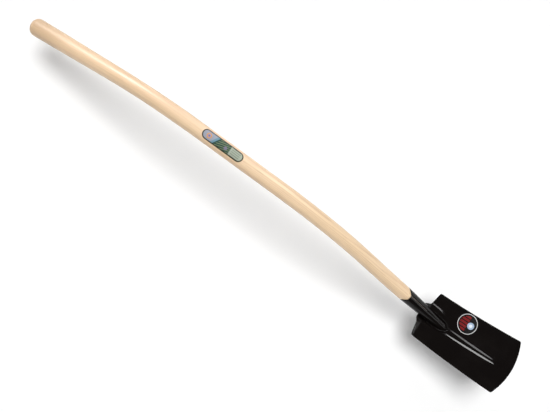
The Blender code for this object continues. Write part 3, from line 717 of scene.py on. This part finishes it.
def meets_face(tool, turn, inset, clear):
    """Distance from the mouth at which a line of the cone comes within a clearance of the load face.

    The line lies at an angle round the socket and an inset under its outer surface. Its height over the
    face falls steadily towards the blade, so the distance is found by halving an interval.
    """
    blade = tool.blade
    heel = heel_point(tool)
    chord, normal = blade_axes(blade)
    low = np.full(turn.shape, blade.heel - blade.tongue_length)
    high = np.full(turn.shape, blade.heel + blade.length / 2.0)
    for _ in range(40):
        x = (low + high) / 2.0
        point = round_axis(x, socket_radius(tool, x) - inset, turn) - heel
        along, across = point @ chord, point[..., 1]
        height = point @ normal - face_height(blade, along, across) + groove_depth(blade, along, across)
        low, high = np.where(height > clear, x, low), np.where(height > clear, high, x)
    return low


def socket_layer(tool, inset, around, run):
    """One side of the rolled sheet, as a grid from the mouth to the blade and from seam edge to seam edge.

    Each point is (x, r sin t, r cos t) with the cone's radius r at x. The angle t leaves the seam's
    half width clear on both sides, and x runs from the dipped mouth to where the cone meets the face.
    Near the seam the outer side drops by the bevel times the square of what is left of its width.
    """
    socket = tool.socket
    clear = np.full(around.shape, 0.01)
    for _ in range(6):
        turn = socket.seam_turn + clear + around * (2.0 * math.pi - 2.0 * clear)
        share = np.sin(turn - socket.mouth_turn) / socket.dip_spread
        facing = np.cos(turn - socket.mouth_turn) > 0.0
        mouth = socket.mouth_dip * np.clip(1.0 - share**2, 0.0, 1.0) * facing + socket.sheet / 2.0
        end = meets_face(tool, turn, inset, socket.seat)
        x = mouth + (end - mouth) * run
        seam = socket.seam_mouth + (socket.seam_end - socket.seam_mouth) * np.clip(x / end, 0.0, 1.0)
        clear = (seam + socket.sheet) / 2.0 / socket_radius(tool, x)
    radius = socket_radius(tool, x) - inset
    from_seam = np.minimum(around, 1.0 - around) * 2.0 * math.pi * radius
    left = np.clip(1.0 - from_seam / socket.bevel_width, 0.0, 1.0)
    return round_axis(x, radius - socket.bevel * left**2 * (inset == 0.0), turn)


def build_socket(tool, finish):
    """The rolled cone as a sheet with round edges at the mouth and seam, and cut flush on the blade."""
    rows, columns = SOCKET_GRID
    around, run = np.meshgrid(np.linspace(0.0, 1.0, columns), np.linspace(0.0, 1.0, rows))
    outer = socket_layer(tool, 0.0, around, run)
    inner = socket_layer(tool, tool.socket.sheet, around, run)
    row, _ = boundary(rows, columns)
    points, quads = plate(outer, inner, bulge=np.where(row >= rows - 1, 0.0, 1.0))
    mesh = add_piece(tool, "socket_sheet", "socket", finish, points, quads)
    mesh.set_sharp_from_angle(angle=math.radians(50.0))


# Welds and rivet


def bead(path, outward, radius):
    """A weld bead: a tube along a path whose radius ripples as each drop froze over the last.

    The radius is radius (0.95 + 0.05 |sin(ripple)| + slow waver), drawn in to nothing at both ends as
    a quarter ellipse.
    """
    step = np.linalg.norm(np.diff(path, axis=0), axis=1)
    run = np.concatenate([[0.0], np.cumsum(step)])
    tangent = np.gradient(path, axis=0)
    tangent /= np.linalg.norm(tangent, axis=1, keepdims=True)
    up = outward - np.einsum("ij,ij->i", outward, tangent)[:, None] * tangent
    up /= np.linalg.norm(up, axis=1, keepdims=True)
    ripple = np.abs(np.sin(run * math.pi / BEAD_SPACING + 0.8 * np.sin(run * 260.0)))
    waver = 0.02 * np.sin(run * 330.0 + 0.5) + 0.02 * np.sin(run * 145.0)
    left = np.clip(np.minimum(run, run[-1] - run) / (radius * 1.2), 0.0, 1.0)
    radii = radius * (0.95 + 0.05 * ripple + waver) * np.sqrt(np.clip(1.0 - (1.0 - left) ** 2, 0.002, 1.0))
    return tube(path, radii, up, np.cross(up, tangent), BEAD_SIDES)


def build_face_weld(tool, finish):
    """The bead in the corner between cone and face, one bead radius off each."""
    socket = tool.socket
    reach = socket.weld_radius + BEAD_CLEARANCE
    turn = np.linspace(-socket.weld_reach, socket.weld_reach, FACE_WELD_RINGS)
    x = meets_face(tool, turn, -reach, reach)
    path = round_axis(x, socket_radius(tool, x) + reach, turn)
    points, quads, poles = bead(path, round_axis(x * 0.0, 1.0, turn), socket.weld_radius)
    add_piece(tool, "weld_face", "face_weld", finish, points, quads, poles)


def build_heel_weld(tool, finish):
    """The short bead under the socket, just behind the tongue's end."""
    blade, socket = tool.blade, tool.socket
    inner = socket_radius(tool, blade.heel) * math.sin(socket.heel_weld) + socket.weld_radius
    across = np.linspace(0.0, inner, 9)
    behind = face_point(tool, np.full(across.shape, -blade.tongue_length), across)
    x = float(behind[:, 0].min()) - socket.weld_radius - socket.seat
    turn = np.linspace(-socket.heel_weld, socket.heel_weld, HEEL_WELD_RINGS)
    radius = socket_radius(tool, x) + socket.weld_radius + socket.seat
    outward = np.stack([np.zeros_like(turn), np.sin(turn), -np.cos(turn)], axis=-1)
    points, quads, poles = bead(radius * outward + np.array([x, 0.0, 0.0]), outward, socket.weld_radius)
    add_piece(tool, "weld_heel", "heel_weld", finish, points, quads, poles)


def build_rivet(tool, finish):
    """A turned rivet: its head is a quarter ellipse with a soft lip, on a shank with a rounded point."""
    socket = tool.socket
    arc = np.linspace(1.0, 0.0, 18) * HEAD_SWEEP
    point = np.linspace(0.0, math.pi / 2.0, 8)[:-1]
    radius = np.concatenate([
        socket.rivet_head * np.cos(arc),
        [socket.rivet_head * HEAD_LIP, socket.rivet_shank, socket.rivet_shank],
        socket.rivet_shank * np.cos(point),
    ])
    height = np.concatenate([
        socket.rivet_height * np.sin(arc),
        [-HEAD_UNDERSIDE, -HEAD_UNDERSIDE, -SHANK_START],
        -socket.rivet_length + socket.rivet_shank * (1.0 - np.sin(point)),
    ])
    x = socket.rivet_place
    z = -socket_radius(tool, x) - socket.seat - height
    centres = np.stack([np.full(len(z), x), np.zeros(len(z)), z], axis=-1)
    up = np.broadcast_to(np.array([1.0, 0.0, 0.0]), centres.shape)
    side = np.broadcast_to(SIDEWAYS, centres.shape)
    points, quads, poles = tube(centres, radius, up, side, RIVET_SIDES)
    mesh = add_piece(tool, "rivet_socket", "socket_rivet", finish, points, quads, poles)
    mesh.set_sharp_from_angle(angle=math.radians(40.0))


# Labels


def build_handle_label(tool, finish):
    """A label with round ends, wrapped on the face side: each point is centre + r (sin t Y + cos t up)."""
    labels, handle = tool.labels, tool.handle
    rows, columns = LABEL_GRID
    v, u = np.meshgrid(np.linspace(-1.0, 1.0, rows), np.linspace(-1.0, 1.0, columns), indexing="ij")
    half = labels.width / 2.0
    offset = np.sin(v * math.pi / 2.0) * half
    run = u * (labels.length / 2.0 - half + np.sqrt(np.maximum(half**2 - offset**2, 0.0)))
    station = (handle.insert + labels.place + run).ravel()
    base = handle_radius(handle, station) + labels.gap
    turn = (offset.ravel() / base)[:, None]
    out = np.sin(turn) * SIDEWAYS + np.cos(turn) * handle_up(handle, station)
    bottom = (handle_centre(handle, station) + base[:, None] * out).reshape(rows, columns, 3)
    top = bottom + (labels.film * out).reshape(rows, columns, 3)
    points, quads = plate(top, bottom, bulge=0.0, steps=1)
    mesh = add_piece(tool, "label_handle", "handle_label", finish, points, quads)
    give_print_map(mesh, np.stack([run, offset], axis=-1) / labels.length + 0.5)


def build_sticker(tool, finish):
    """A round sticker: the square grid (u, v) becomes the disc (u sqrt(1 - v v / 2), v sqrt(1 - u u / 2))."""
    labels = tool.labels
    even = np.linspace(-1.0, 1.0, STICKER_POINTS)
    u, v = np.meshgrid(even, even, indexing="ij")
    disc = np.stack([u * np.sqrt(1.0 - v * v / 2.0), v * np.sqrt(1.0 - u * u / 2.0)], axis=-1)
    place = disc * labels.sticker / 2.0
    along, across = labels.sticker_along + place[..., 0], labels.sticker_across + place[..., 1]
    bottom = face_point(tool, along, across, labels.gap)
    top = face_point(tool, along, across, labels.gap + labels.film)
    points, quads = plate(top, bottom, bulge=0.0, steps=1)
    mesh = add_piece(tool, "sticker_blade", "blade_sticker", finish, points, quads)
    give_print_map(mesh, disc / 2.0 + 0.5)


# Finishes


class Finish:
    """A material in the making: adds nodes, and links a socket or sets a value at each input."""

    def __init__(self, name):
        self.material = bpy.data.materials.new(name)
        self.material.use_nodes = True
        self.tree = self.material.node_tree
        self.shader = self.tree.nodes["Principled BSDF"]

    def add(self, kind, **settings):
        """Add a node with its settings."""
        node = self.tree.nodes.new(kind)
        for name, value in settings.items():
            setattr(node, name, value)
        return node

    def feed(self, socket, value):
        """Link a socket to an input, or set the input to a plain value or colour."""
        if isinstance(value, bpy.types.NodeSocket):
            self.tree.links.new(value, socket)
        else:
            socket.default_value = (*value, 1.0) if socket.type == "RGBA" else value

    def math(self, operation, *values, clamp=False):
        """One step of arithmetic."""
        node = self.add("ShaderNodeMath", operation=operation, use_clamp=clamp)
        for socket, value in zip(node.inputs, values):
            self.feed(socket, value)
        return node.outputs[0]

    def times(self, first, second):
        """The product of two values."""
        return self.math("MULTIPLY", first, second)

    def distance(self, x, y, middle=(0.0, 0.0)):
        """Distance of a place from a middle: the root of the sum of both squares."""
        squares = []
        for part, away in zip((x, y), middle):
            offset = self.math("SUBTRACT", part, away) if away else part
            squares.append(self.math("POWER", offset, 2.0))
        return self.math("SQRT", self.math("ADD", *squares))

    def ease(self, value, low, high, to_low=0.0, to_high=1.0):
        """A smooth step of a value from one level to another."""
        node = self.add("ShaderNodeMapRange", interpolation_type="SMOOTHSTEP")
        for socket, given in zip(node.inputs, (value, low, high, to_low, to_high)):
            self.feed(socket, given)
        return node.outputs["Result"]

    def band(self, value, rise, fall):
        """One inside a band of values and nothing outside: a smooth step up times a smooth step down."""
        return self.times(self.ease(value, *rise), self.ease(value, *fall))

    def stretched(self, vector, factors, offset=(0.0, 0.0, 0.0)):
        """A vector times a factor on each axis, plus an offset."""
        node = self.add("ShaderNodeVectorMath", operation="MULTIPLY_ADD")
        for socket, given in zip(node.inputs, (vector, factors, offset)):
            self.feed(socket, given)
        return node.outputs["Vector"]

    def noise(self, vector, factors, detail=2.0, roughness=0.5, offset=(0.0, 0.0, 0.0)):
        """Cloudy noise whose grains are one metre divided by the factor on each axis."""
        node = self.add("ShaderNodeTexNoise")
        self.feed(node.inputs["Vector"], self.stretched(vector, factors, offset))
        for name, value in (("Scale", 1.0), ("Detail", detail), ("Roughness", roughness)):
            node.inputs[name].default_value = value
        return node.outputs["Fac"]

    def mix(self, factor, first, second, blend="MIX"):
        """Mix two colours."""
        node = self.add("ShaderNodeMix", data_type="RGBA", blend_type=blend)
        for index, value in ((0, factor), (6, first), (7, second)):
            self.feed(node.inputs[index], value)
        return node.outputs[2]

    def parts(self, vector):
        """The three parts of a vector."""
        node = self.add("ShaderNodeSeparateXYZ")
        self.feed(node.inputs[0], vector)
        return node.outputs[0], node.outputs[1], node.outputs[2]

    def attribute(self, name):
        """A vector stored on the mesh."""
        return self.add("ShaderNodeAttribute", attribute_name=name).outputs["Vector"]

    def print_place(self, width):
        """A print's own map, and the place on it in millimetres from its middle."""
        flat = self.add("ShaderNodeUVMap", uv_map="print").outputs["UV"]
        side, middle = width * MILLIMETRES, -width * MILLIMETRES / 2.0
        x, y, _ = self.parts(self.stretched(flat, (side, side, 0.0), (middle, middle, 0.0)))
        return flat, x, y

    def seen(self):
        """One for rays that look at a surface or mirror it, and nothing for the light that falls on it."""
        light = self.add("ShaderNodeLightPath")
        seen = self.math("ADD", light.outputs["Is Camera Ray"], light.outputs["Is Glossy Ray"])
        return self.math("ADD", seen, light.outputs["Is Transmission Ray"], clamp=True)

    def cover(self, colour, roughness, relief, height, **gloss):
        """Finish the shader: its colour, roughness, relief in metres and the plain values of its gloss."""
        self.feed(self.shader.inputs["Base Color"], colour)
        self.feed(self.shader.inputs["Roughness"], roughness)
        for name, value in gloss.items():
            self.shader.inputs[name.replace("_", " ")].default_value = value
        node = self.add("ShaderNodeBump")
        node.inputs["Strength"].default_value = 1.0
        node.inputs["Distance"].default_value = height
        self.feed(node.inputs["Height"], relief)
        self.tree.links.new(node.outputs["Normal"], self.shader.inputs["Normal"])
        return self.material


def ash_finish(tool):
    """Softly lacquered ash: growth rings round a pith beside the stick, long fibres, pores and streaks.

    A ring's place is the distance from the wandering pith over the ring spacing. The wood darkens towards
    the grip's end, the turned end shows darker end grain, and the wood inside the socket takes painted shade.
    """
    colours = tool.finishes
    made = Finish("finish_ash")
    grain = made.attribute("grain")
    along, across, out = made.parts(grain)
    wander_across = made.noise(grain, (1.1, 9.0, 9.0))
    wander_out = made.noise(grain, (1.4, 8.0, 8.0), offset=(7.0, 3.0, 1.0))
    drift_across = made.math("MULTIPLY_ADD", wander_across, 0.020, 0.030)
    drift_out = made.math("MULTIPLY_ADD", wander_out, 0.022, 0.038)
    lean = made.math("MULTIPLY_ADD", along, 0.006, drift_out)
    far = made.distance(made.math("ADD", across, drift_across), made.math("ADD", out, lean))
    rings = made.math("FRACT", made.math("DIVIDE", far, colours.ring_spacing))
    early = made.band(rings, (0.0, 0.12), (0.55, 0.16))
    fibres = made.noise(grain, (9.0, 520.0, 520.0), detail=4.0, roughness=0.65)
    fine = made.noise(grain, (34.0, 2400.0, 2400.0), detail=2.0, roughness=0.6)
    streaks = made.noise(grain, (2.2, 120.0, 120.0), detail=3.0, roughness=0.55, offset=(2.0, 5.0, 9.0))
    broad = made.noise(grain, (1.3, 34.0, 34.0), detail=2.0, offset=(11.0, 2.0, 4.0))
    pores = made.times(made.ease(fine, 0.56, 0.68), made.math("MULTIPLY_ADD", early, 0.75, 0.25))

    deep = made.times(early, made.ease(fibres, 0.25, 0.75, 0.30, 0.62))
    base = made.mix(deep, colours.wood_pale, colours.wood_deep)
    base = made.mix(made.ease(broad, 0.42, 0.62, 0.0, 0.8), base, colours.wood_pink)
    shade = made.times(made.ease(streaks, 0.3, 0.7, 0.93, 1.05), made.ease(fibres, 0.3, 0.7, 0.94, 1.05))
    tint = made.add("ShaderNodeCombineXYZ")
    for socket, power in zip(tint.inputs, (0.8, 1.0, 1.25)):
        made.feed(socket, made.math("POWER", shade, power))
    base = made.mix(1.0, base, tint.outputs[0], "MULTIPLY")
    base = made.mix(made.times(pores, 0.42), base, [0.55 * part for part in colours.wood_deep])
    cut = made.parts(made.attribute("end_grain"))[0]
    flecks = made.ease(made.noise(grain, (60.0, 900.0, 900.0), detail=3.0), 0.35, 0.7, 0.75, 1.0)
    base = made.mix(made.times(made.ease(cut, 0.30, 0.85), flecks), base, colours.wood_end)
    # The colour grows darker towards the grip's end, in streaks
    darkened = made.ease(along, colours.grip_dark_start, colours.grip_dark_end, 0.0, 0.5)
    grip_darker = made.times(darkened, made.ease(streaks, 0.3, 0.6, 0.6, 1.0))
    base = made.mix(grip_darker, base, colours.wood_end)
    # Painted shade: near black on the wood deep inside the socket, where the steel shades it
    unshaded = made.ease(along, colours.socket_shade_start, colours.socket_shade_end, 0.03, 1.0)
    base = made.mix(unshaded, colours.wood_socket_shade, base)
    relief = made.math("SUBTRACT", made.math("MULTIPLY_ADD", early, -0.25, fibres), pores)
    return made.cover(
        base, made.ease(fibres, 0.3, 0.7, 0.42, 0.56), relief, 0.00012,
        Specular_IOR_Level=0.25, Coat_Weight=0.4, Coat_Roughness=0.36, Coat_IOR=1.5,
    )


def enamel_finish(tool):
    """Dipped black enamel: a slow waver in the film, a faint haze, fine specks and a clear, hard gloss."""
    colours = tool.finishes
    made = Finish("finish_enamel")
    place = made.add("ShaderNodeTexCoord").outputs["Object"]
    haze = made.noise(place, (14.0, 14.0, 14.0), detail=4.0, roughness=0.6)
    specks = made.ease(made.noise(place, (520.0, 520.0, 520.0), detail=1.0), 0.66, 0.76)
    peel = made.noise(place, (150.0, 150.0, 150.0), detail=2.0, roughness=0.45)
    runs = made.noise(place, (26.0, 40.0, 40.0), detail=1.0)
    base = made.mix(made.ease(haze, 0.45, 0.75), colours.enamel, colours.enamel_dust)
    base = made.mix(made.times(specks, 0.2), base, colours.enamel_speck)
    rough = made.math("ADD", made.ease(haze, 0.35, 0.7, 0.24, 0.34), made.times(specks, 0.2))
    return made.cover(
        base, rough, made.math("MULTIPLY_ADD", runs, 1.2, peel), 0.00005,
        Specular_IOR_Level=0.0, Coat_Weight=0.6, Coat_Roughness=0.06, Coat_IOR=1.3,
    )


def label_finish(tool):
    """The handle label's print, in millimetres from its middle, towards the grip and across.

    A dark border follows the round ends. Inside it lie, from the grip end: a pale field with an orange
    ring round a violet dot, a light blue slanting band, a dark green field with slanting stripes and a
    dull spot, and a pale panel with bars.
    """
    colours, labels = tool.finishes, tool.labels
    made = Finish("finish_label")
    flat, x, y = made.print_place(labels.length)
    straight = (labels.length - labels.width) / 2.0 * MILLIMETRES
    over = made.math("MAXIMUM", made.math("SUBTRACT", made.math("ABSOLUTE", x), straight), 0.0)
    rim = made.distance(over, y)
    slant = made.math("MULTIPLY_ADD", y, 0.55, x)

    clouds = made.ease(made.noise(flat, (9.0, 40.0, 1.0), detail=3.0), 0.35, 0.65)
    base = made.mix(clouds, colours.label_field, colours.label_mottle)
    stripe = made.math("FRACT", made.times(made.math("MULTIPLY_ADD", x, 0.32, y), 0.21))
    inside = made.band(slant, (-22.0, -20.0), (14.0, 12.0))
    stripes = made.times(made.band(stripe, (0.06, 0.14), (0.34, 0.26)), inside)
    base = made.mix(stripes, base, colours.label_stripe)
    spot = made.distance(x, y, (-8.0, -2.0))
    base = made.mix(made.ease(spot, 4.4, 3.6), base, colours.label_spot)
    base = made.mix(made.ease(slant, 21.5, 22.5), base, colours.label_pale)
    base = made.mix(made.band(slant, (16.5, 17.2), (22.6, 21.9)), base, colours.label_band)
    ring = made.distance(x, y, (36.0, 0.0))
    base = made.mix(made.band(ring, (3.6, 4.2), (6.4, 5.8)), base, colours.label_ring)
    base = made.mix(made.ease(ring, 2.6, 2.0), base, colours.label_dot)
    base = made.mix(made.ease(x, -18.0, -19.0), base, colours.label_panel)
    row = made.math("FRACT", made.math("MULTIPLY_ADD", y, 0.22, 0.5))
    inside = made.band(x, (-22.0, -22.7), (-44.6, -43.9))
    bars = made.times(made.band(row, (0.30, 0.38), (0.70, 0.62)), inside)
    base = made.mix(bars, base, colours.label_bar)
    base = made.mix(made.ease(rim, 9.5, 10.0), base, colours.label_border)
    base = made.mix(made.ease(rim, 11.8, 12.1), base, colours.label_edge)
    rough = made.ease(made.noise(flat, (30.0, 30.0, 1.0), detail=4.0), 0.3, 0.7, 0.50, 0.64)
    relief = made.noise(flat, (46.0, 46.0, 1.0), detail=2.0)
    return made.cover(base, rough, relief, 0.00008, Specular_IOR_Level=0.2)


def sticker_finish(tool):
    """The round sticker's print, in millimetres from its middle.

    A thin white ring runs round a black ground, with red stripes on one half of the disc inside it, and
    a pale blue dot with a white middle on the other.
    """
    colours = tool.finishes
    made = Finish("finish_sticker")
    flat, x, y = made.print_place(tool.labels.sticker)
    far = made.distance(x, y)
    rubbed = made.ease(made.noise(flat, (12.0, 12.0, 1.0), detail=3.0), 0.4, 0.7)
    base = made.mix(rubbed, colours.sticker_black, colours.sticker_worn)
    base = made.mix(made.band(far, (24.0, 24.4), (25.7, 25.3)), base, colours.sticker_line)
    stripe = made.math("FRACT", made.math("MULTIPLY_ADD", y, 0.12, 0.5))
    half = made.times(made.ease(x, 1.2, 0.6), made.ease(far, 20.6, 20.0))
    stripes = made.times(made.band(stripe, (0.14, 0.20), (0.86, 0.80)), half)
    base = made.mix(stripes, base, colours.sticker_red)
    dot = made.distance(x, y, (9.6, 0.0))
    base = made.mix(made.ease(dot, 9.0, 8.5), base, colours.sticker_blue)
    base = made.mix(made.ease(dot, 4.4, 4.0), base, colours.sticker_middle)
    rough = made.ease(made.noise(flat, (24.0, 24.0, 1.0), detail=4.0), 0.3, 0.7, 0.24, 0.36)
    relief = made.noise(flat, (30.0, 30.0, 1.0), detail=2.0)
    return made.cover(
        base, rough, relief, 0.00008, Specular_IOR_Level=0.15, Coat_Weight=0.2, Coat_Roughness=0.12
    )


def floor_finish(studio):
    """A pale floor that takes the shadow, with plain white added wherever it is looked at or mirrored."""
    made = Finish("studio_floor")
    place = made.add("ShaderNodeTexCoord").outputs["Object"]
    clouds = made.ease(made.noise(place, (3.0, 3.0, 3.0)), 0.3, 0.7, 0.995, 1.0)
    made.tree.nodes.remove(made.shader)
    matt = made.add("ShaderNodeBsdfDiffuse")
    made.feed(matt.inputs["Color"], made.times(clouds, studio.floor))
    glow = made.add("ShaderNodeEmission")
    made.feed(glow.inputs["Strength"], made.times(made.seen(), studio.glow))
    both = made.add("ShaderNodeAddShader")
    made.feed(both.inputs[0], matt.outputs[0])
    made.feed(both.inputs[1], glow.outputs[0])
    made.feed(made.tree.nodes["Material Output"].inputs["Surface"], both.outputs[0])
    return made.material


def wall_finish(studio):
    """A wall that looks white wherever it is looked at or mirrored, and lights as the world does."""
    made = Finish("studio_wall")
    made.tree.nodes.remove(made.shader)
    white = made.add("ShaderNodeEmission")
    strength = made.math("MULTIPLY_ADD", made.seen(), 1.0 - studio.world, studio.world)
    made.feed(white.inputs["Strength"], strength)
    made.feed(made.tree.nodes["Material Output"].inputs["Surface"], white.outputs[0])
    return made.material


def finish_named(name, maker, tool):
    """The finish of that name, made the first time it is asked for."""
    return bpy.data.materials.get("finish_" + name) or maker(tool)


# Studio


def plain_mesh(name, points, faces, finish):
    """The floor or the wall, which aren't part of the tool."""
    mesh = bpy.data.meshes.new(name)
    mesh.from_pydata(points.tolist(), [], faces.tolist())
    mesh.materials.append(finish)
    return put(name, mesh)


def add_sun(name, strength, size, off, around, shadow=False, gloss=False):
    """A soft far lamp; its size, angle off the vertical and angle round it from +X are in degrees."""
    data = bpy.data.lights.new(name, "SUN")
    data.energy, data.angle, data.use_shadow = strength, math.radians(size), shadow
    lamp = put(name, data)
    lamp.rotation_euler = (0.0, math.radians(off), math.radians(around))
    lamp.visible_glossy = gloss


def add_softbox(name, glow, aim, off, around, width, height, lean):
    """A soft box that faces a point, in a direction given as for add_sun; only glossy surfaces show it.

    Its sides are 2 distance tan(half the angle), and its power is glow times pi times its area. The lean
    turns it in its own plane.
    """
    data = bpy.data.lights.new(name, "AREA")
    data.shape = "RECTANGLE"
    data.size = 2.0 * SOFTBOX_DISTANCE * math.tan(math.radians(width) / 2.0)
    data.size_y = 2.0 * SOFTBOX_DISTANCE * math.tan(math.radians(height) / 2.0)
    data.energy, data.use_shadow = glow * math.pi * data.size * data.size_y, False
    turn = Euler((0.0, math.radians(off), math.radians(around)))
    outwards = turn.to_matrix() @ Vector((0.0, 0.0, 1.0))
    facing = outwards.to_track_quat("Z", "Y") @ Quaternion((0.0, 0.0, 1.0), math.radians(lean))
    lamp = put(name, data)
    lamp.location = Vector(aim) + SOFTBOX_DISTANCE * outwards
    lamp.rotation_euler = facing.to_euler()
    lamp.visible_diffuse = lamp.visible_camera = False


def build_ground(studio):
    """A square floor, and a round wall on it: (distance cos t, distance sin t, 0 or the height)."""
    reach = studio.wall_distance
    corners = np.array([(-1.0, -1.0), (1.0, -1.0), (1.0, 1.0), (-1.0, 1.0)]) * reach
    points = np.column_stack([corners, np.full(4, -studio.floor_drop)])
    floor = plain_mesh("floor", points, np.array([[0, 1, 2, 3]]), floor_finish(studio))
    turn = np.linspace(0.0, 2.0 * math.pi, WALL_SIDES, endpoint=False)
    foot = np.column_stack([reach * np.cos(turn), reach * np.sin(turn), turn * 0.0 - studio.floor_drop])
    points = np.concatenate([foot, foot + np.array([0.0, 0.0, studio.wall_height])])
    wall = plain_mesh("wall", points, quads_of(2, WALL_SIDES, wrap=True), wall_finish(studio))
    wall.visible_shadow = False


def build_lamps(studio):
    """Four far lamps for the plain light, and soft boxes for the highlights."""
    add_sun("key_lamp", studio.key, 24.0, 16.0, 136.0, shadow=True)
    add_sun("gloss_lamp", studio.gloss, 34.0, 66.0, 135.0, gloss=True)
    add_sun("fill_lamp", studio.fill, 50.0, 52.0, -60.0)
    add_sun("low_lamp", studio.low, 40.0, 74.0, -20.0)
    # Name, brightness, aim, angle off the vertical, angle round it, width, height and lean of each box
    for box in (
        ("groove_box_upper", studio.strip, GROOVE_MIDDLE, 48.5, 98.5, 32.0, 5.5, 27.0),
        ("groove_box_lower", studio.strip * 0.45, GROOVE_MIDDLE, 16.0, -120.0, 28.0, 7.0, 0.0),
        ("seam_box", studio.edge * 0.20, SEAM_MIDDLE, 72.0, 25.0, 26.0, 8.0, 0.0),
        ("neck_box", studio.edge * 0.5, NECK_MIDDLE, 21.0, 34.0, 5.0, 2.0, 53.0),
        ("collar_box", studio.edge * 0.05, SEAM_MIDDLE, 56.0, 23.0, 14.0, 22.0, 0.0),
        ("wood_box", studio.sheen, GRIP_MIDDLE, 57.0, 141.0, 24.0, 16.0, 0.0),
        ("side_box", studio.sheen * 0.12, GRIP_MIDDLE, 80.0, 95.0, 24.0, 36.0, 0.0),
    ):
        add_softbox(*box)


def build_view(studio):
    """The even light of the world, and the camera at the photograph's viewing angle."""
    world = bpy.data.worlds.new("studio")
    world.use_nodes = True
    sky = world.node_tree.nodes["Background"]
    sky.inputs["Color"].default_value = (1.0, 1.0, 1.0, 1.0)
    sky.inputs["Strength"].default_value = studio.world
    bpy.context.scene.world = world

    data = bpy.data.cameras.new("camera")
    data.lens, data.sensor_width = studio.lens, 36.0
    camera = put("camera", data)
    camera.location, camera.rotation_euler = studio.camera_place, studio.camera_turn
    bpy.context.scene.camera = camera
    bpy.context.scene.view_settings.view_transform = "Standard"


# Operators


class SPADE_OT_handle(Operator):
    """Build the bent ash stick"""

    bl_idname = "spade.handle"
    bl_label = "Handle"

    def execute(self, context):
        tool = context.scene.spade
        build_handle(tool, finish_named("ash", ash_finish, tool))
        return {"FINISHED"}


class SPADE_OT_socket(Operator):
    """Build the rolled socket and its rivet"""

    bl_idname = "spade.socket"
    bl_label = "Socket and rivet"

    def execute(self, context):
        tool = context.scene.spade
        finish = finish_named("enamel", enamel_finish, tool)
        build_socket(tool, finish)
        build_rivet(tool, finish)
        return {"FINISHED"}


class SPADE_OT_blade(Operator):
    """Build the dished blade"""

    bl_idname = "spade.blade"
    bl_label = "Blade"

    def execute(self, context):
        tool = context.scene.spade
        build_blade(tool, finish_named("enamel", enamel_finish, tool))
        return {"FINISHED"}


class SPADE_OT_welds(Operator):
    """Build the two weld beads between socket and blade"""

    bl_idname = "spade.welds"
    bl_label = "Welds"

    def execute(self, context):
        tool = context.scene.spade
        finish = finish_named("enamel", enamel_finish, tool)
        build_face_weld(tool, finish)
        build_heel_weld(tool, finish)
        return {"FINISHED"}


class SPADE_OT_labels(Operator):
    """Build the handle label and the blade sticker"""

    bl_idname = "spade.labels"
    bl_label = "Labels"

    def execute(self, context):
        tool = context.scene.spade
        build_handle_label(tool, finish_named("label", label_finish, tool))
        build_sticker(tool, finish_named("sticker", sticker_finish, tool))
        return {"FINISHED"}


class SPADE_OT_stage(Operator):
    """Build the floor, the lamps and the camera"""

    bl_idname = "spade.stage"
    bl_label = "Studio"

    def execute(self, context):
        studio = context.scene.spade.studio
        build_ground(studio)
        build_lamps(studio)
        build_view(studio)
        return {"FINISHED"}


class SPADE_PT_pieces(Panel):
    """Lists the pieces of the spade and their settings"""

    bl_label = "Trenching spade"
    bl_idname = "SPADE_PT_pieces"
    bl_space_type = "VIEW_3D"
    bl_region_type = "UI"
    bl_category = "Spade"

    def draw(self, context):
        for operator in OPERATORS:
            self.layout.operator(operator.bl_idname)
        for name in Spade.__annotations__:
            settings = getattr(context.scene.spade, name)
            box = self.layout.box()
            box.label(text=name.capitalize())
            for key in type(settings).__annotations__:
                box.prop(settings, key)


GROUPS = (RestPlace, HandleSizes, SocketSizes, BladeSizes, LabelSizes, Finishes, StudioSettings, Spade)
OPERATORS = (
    SPADE_OT_handle, SPADE_OT_socket, SPADE_OT_blade, SPADE_OT_welds, SPADE_OT_labels, SPADE_OT_stage
)
CLASSES = (*GROUPS, *OPERATORS, SPADE_PT_pieces)


def register():
    """Make the settings, the operators and the panel known."""
    for kind in CLASSES:
        bpy.utils.register_class(kind)
    bpy.types.Scene.spade = group("Spade", Spade)


def unregister():
    """Take them away again."""
    del bpy.types.Scene.spade
    for kind in reversed(CLASSES):
        bpy.utils.unregister_class(kind)


def main():
    """Build the whole tool and its studio."""
    register()
    bpy.ops.spade.handle()
    bpy.ops.spade.socket()
    bpy.ops.spade.blade()
    bpy.ops.spade.welds()
    bpy.ops.spade.labels()
    bpy.ops.spade.stage()
    bpy.context.view_layer.update()


if __name__ == "__main__":
    main()
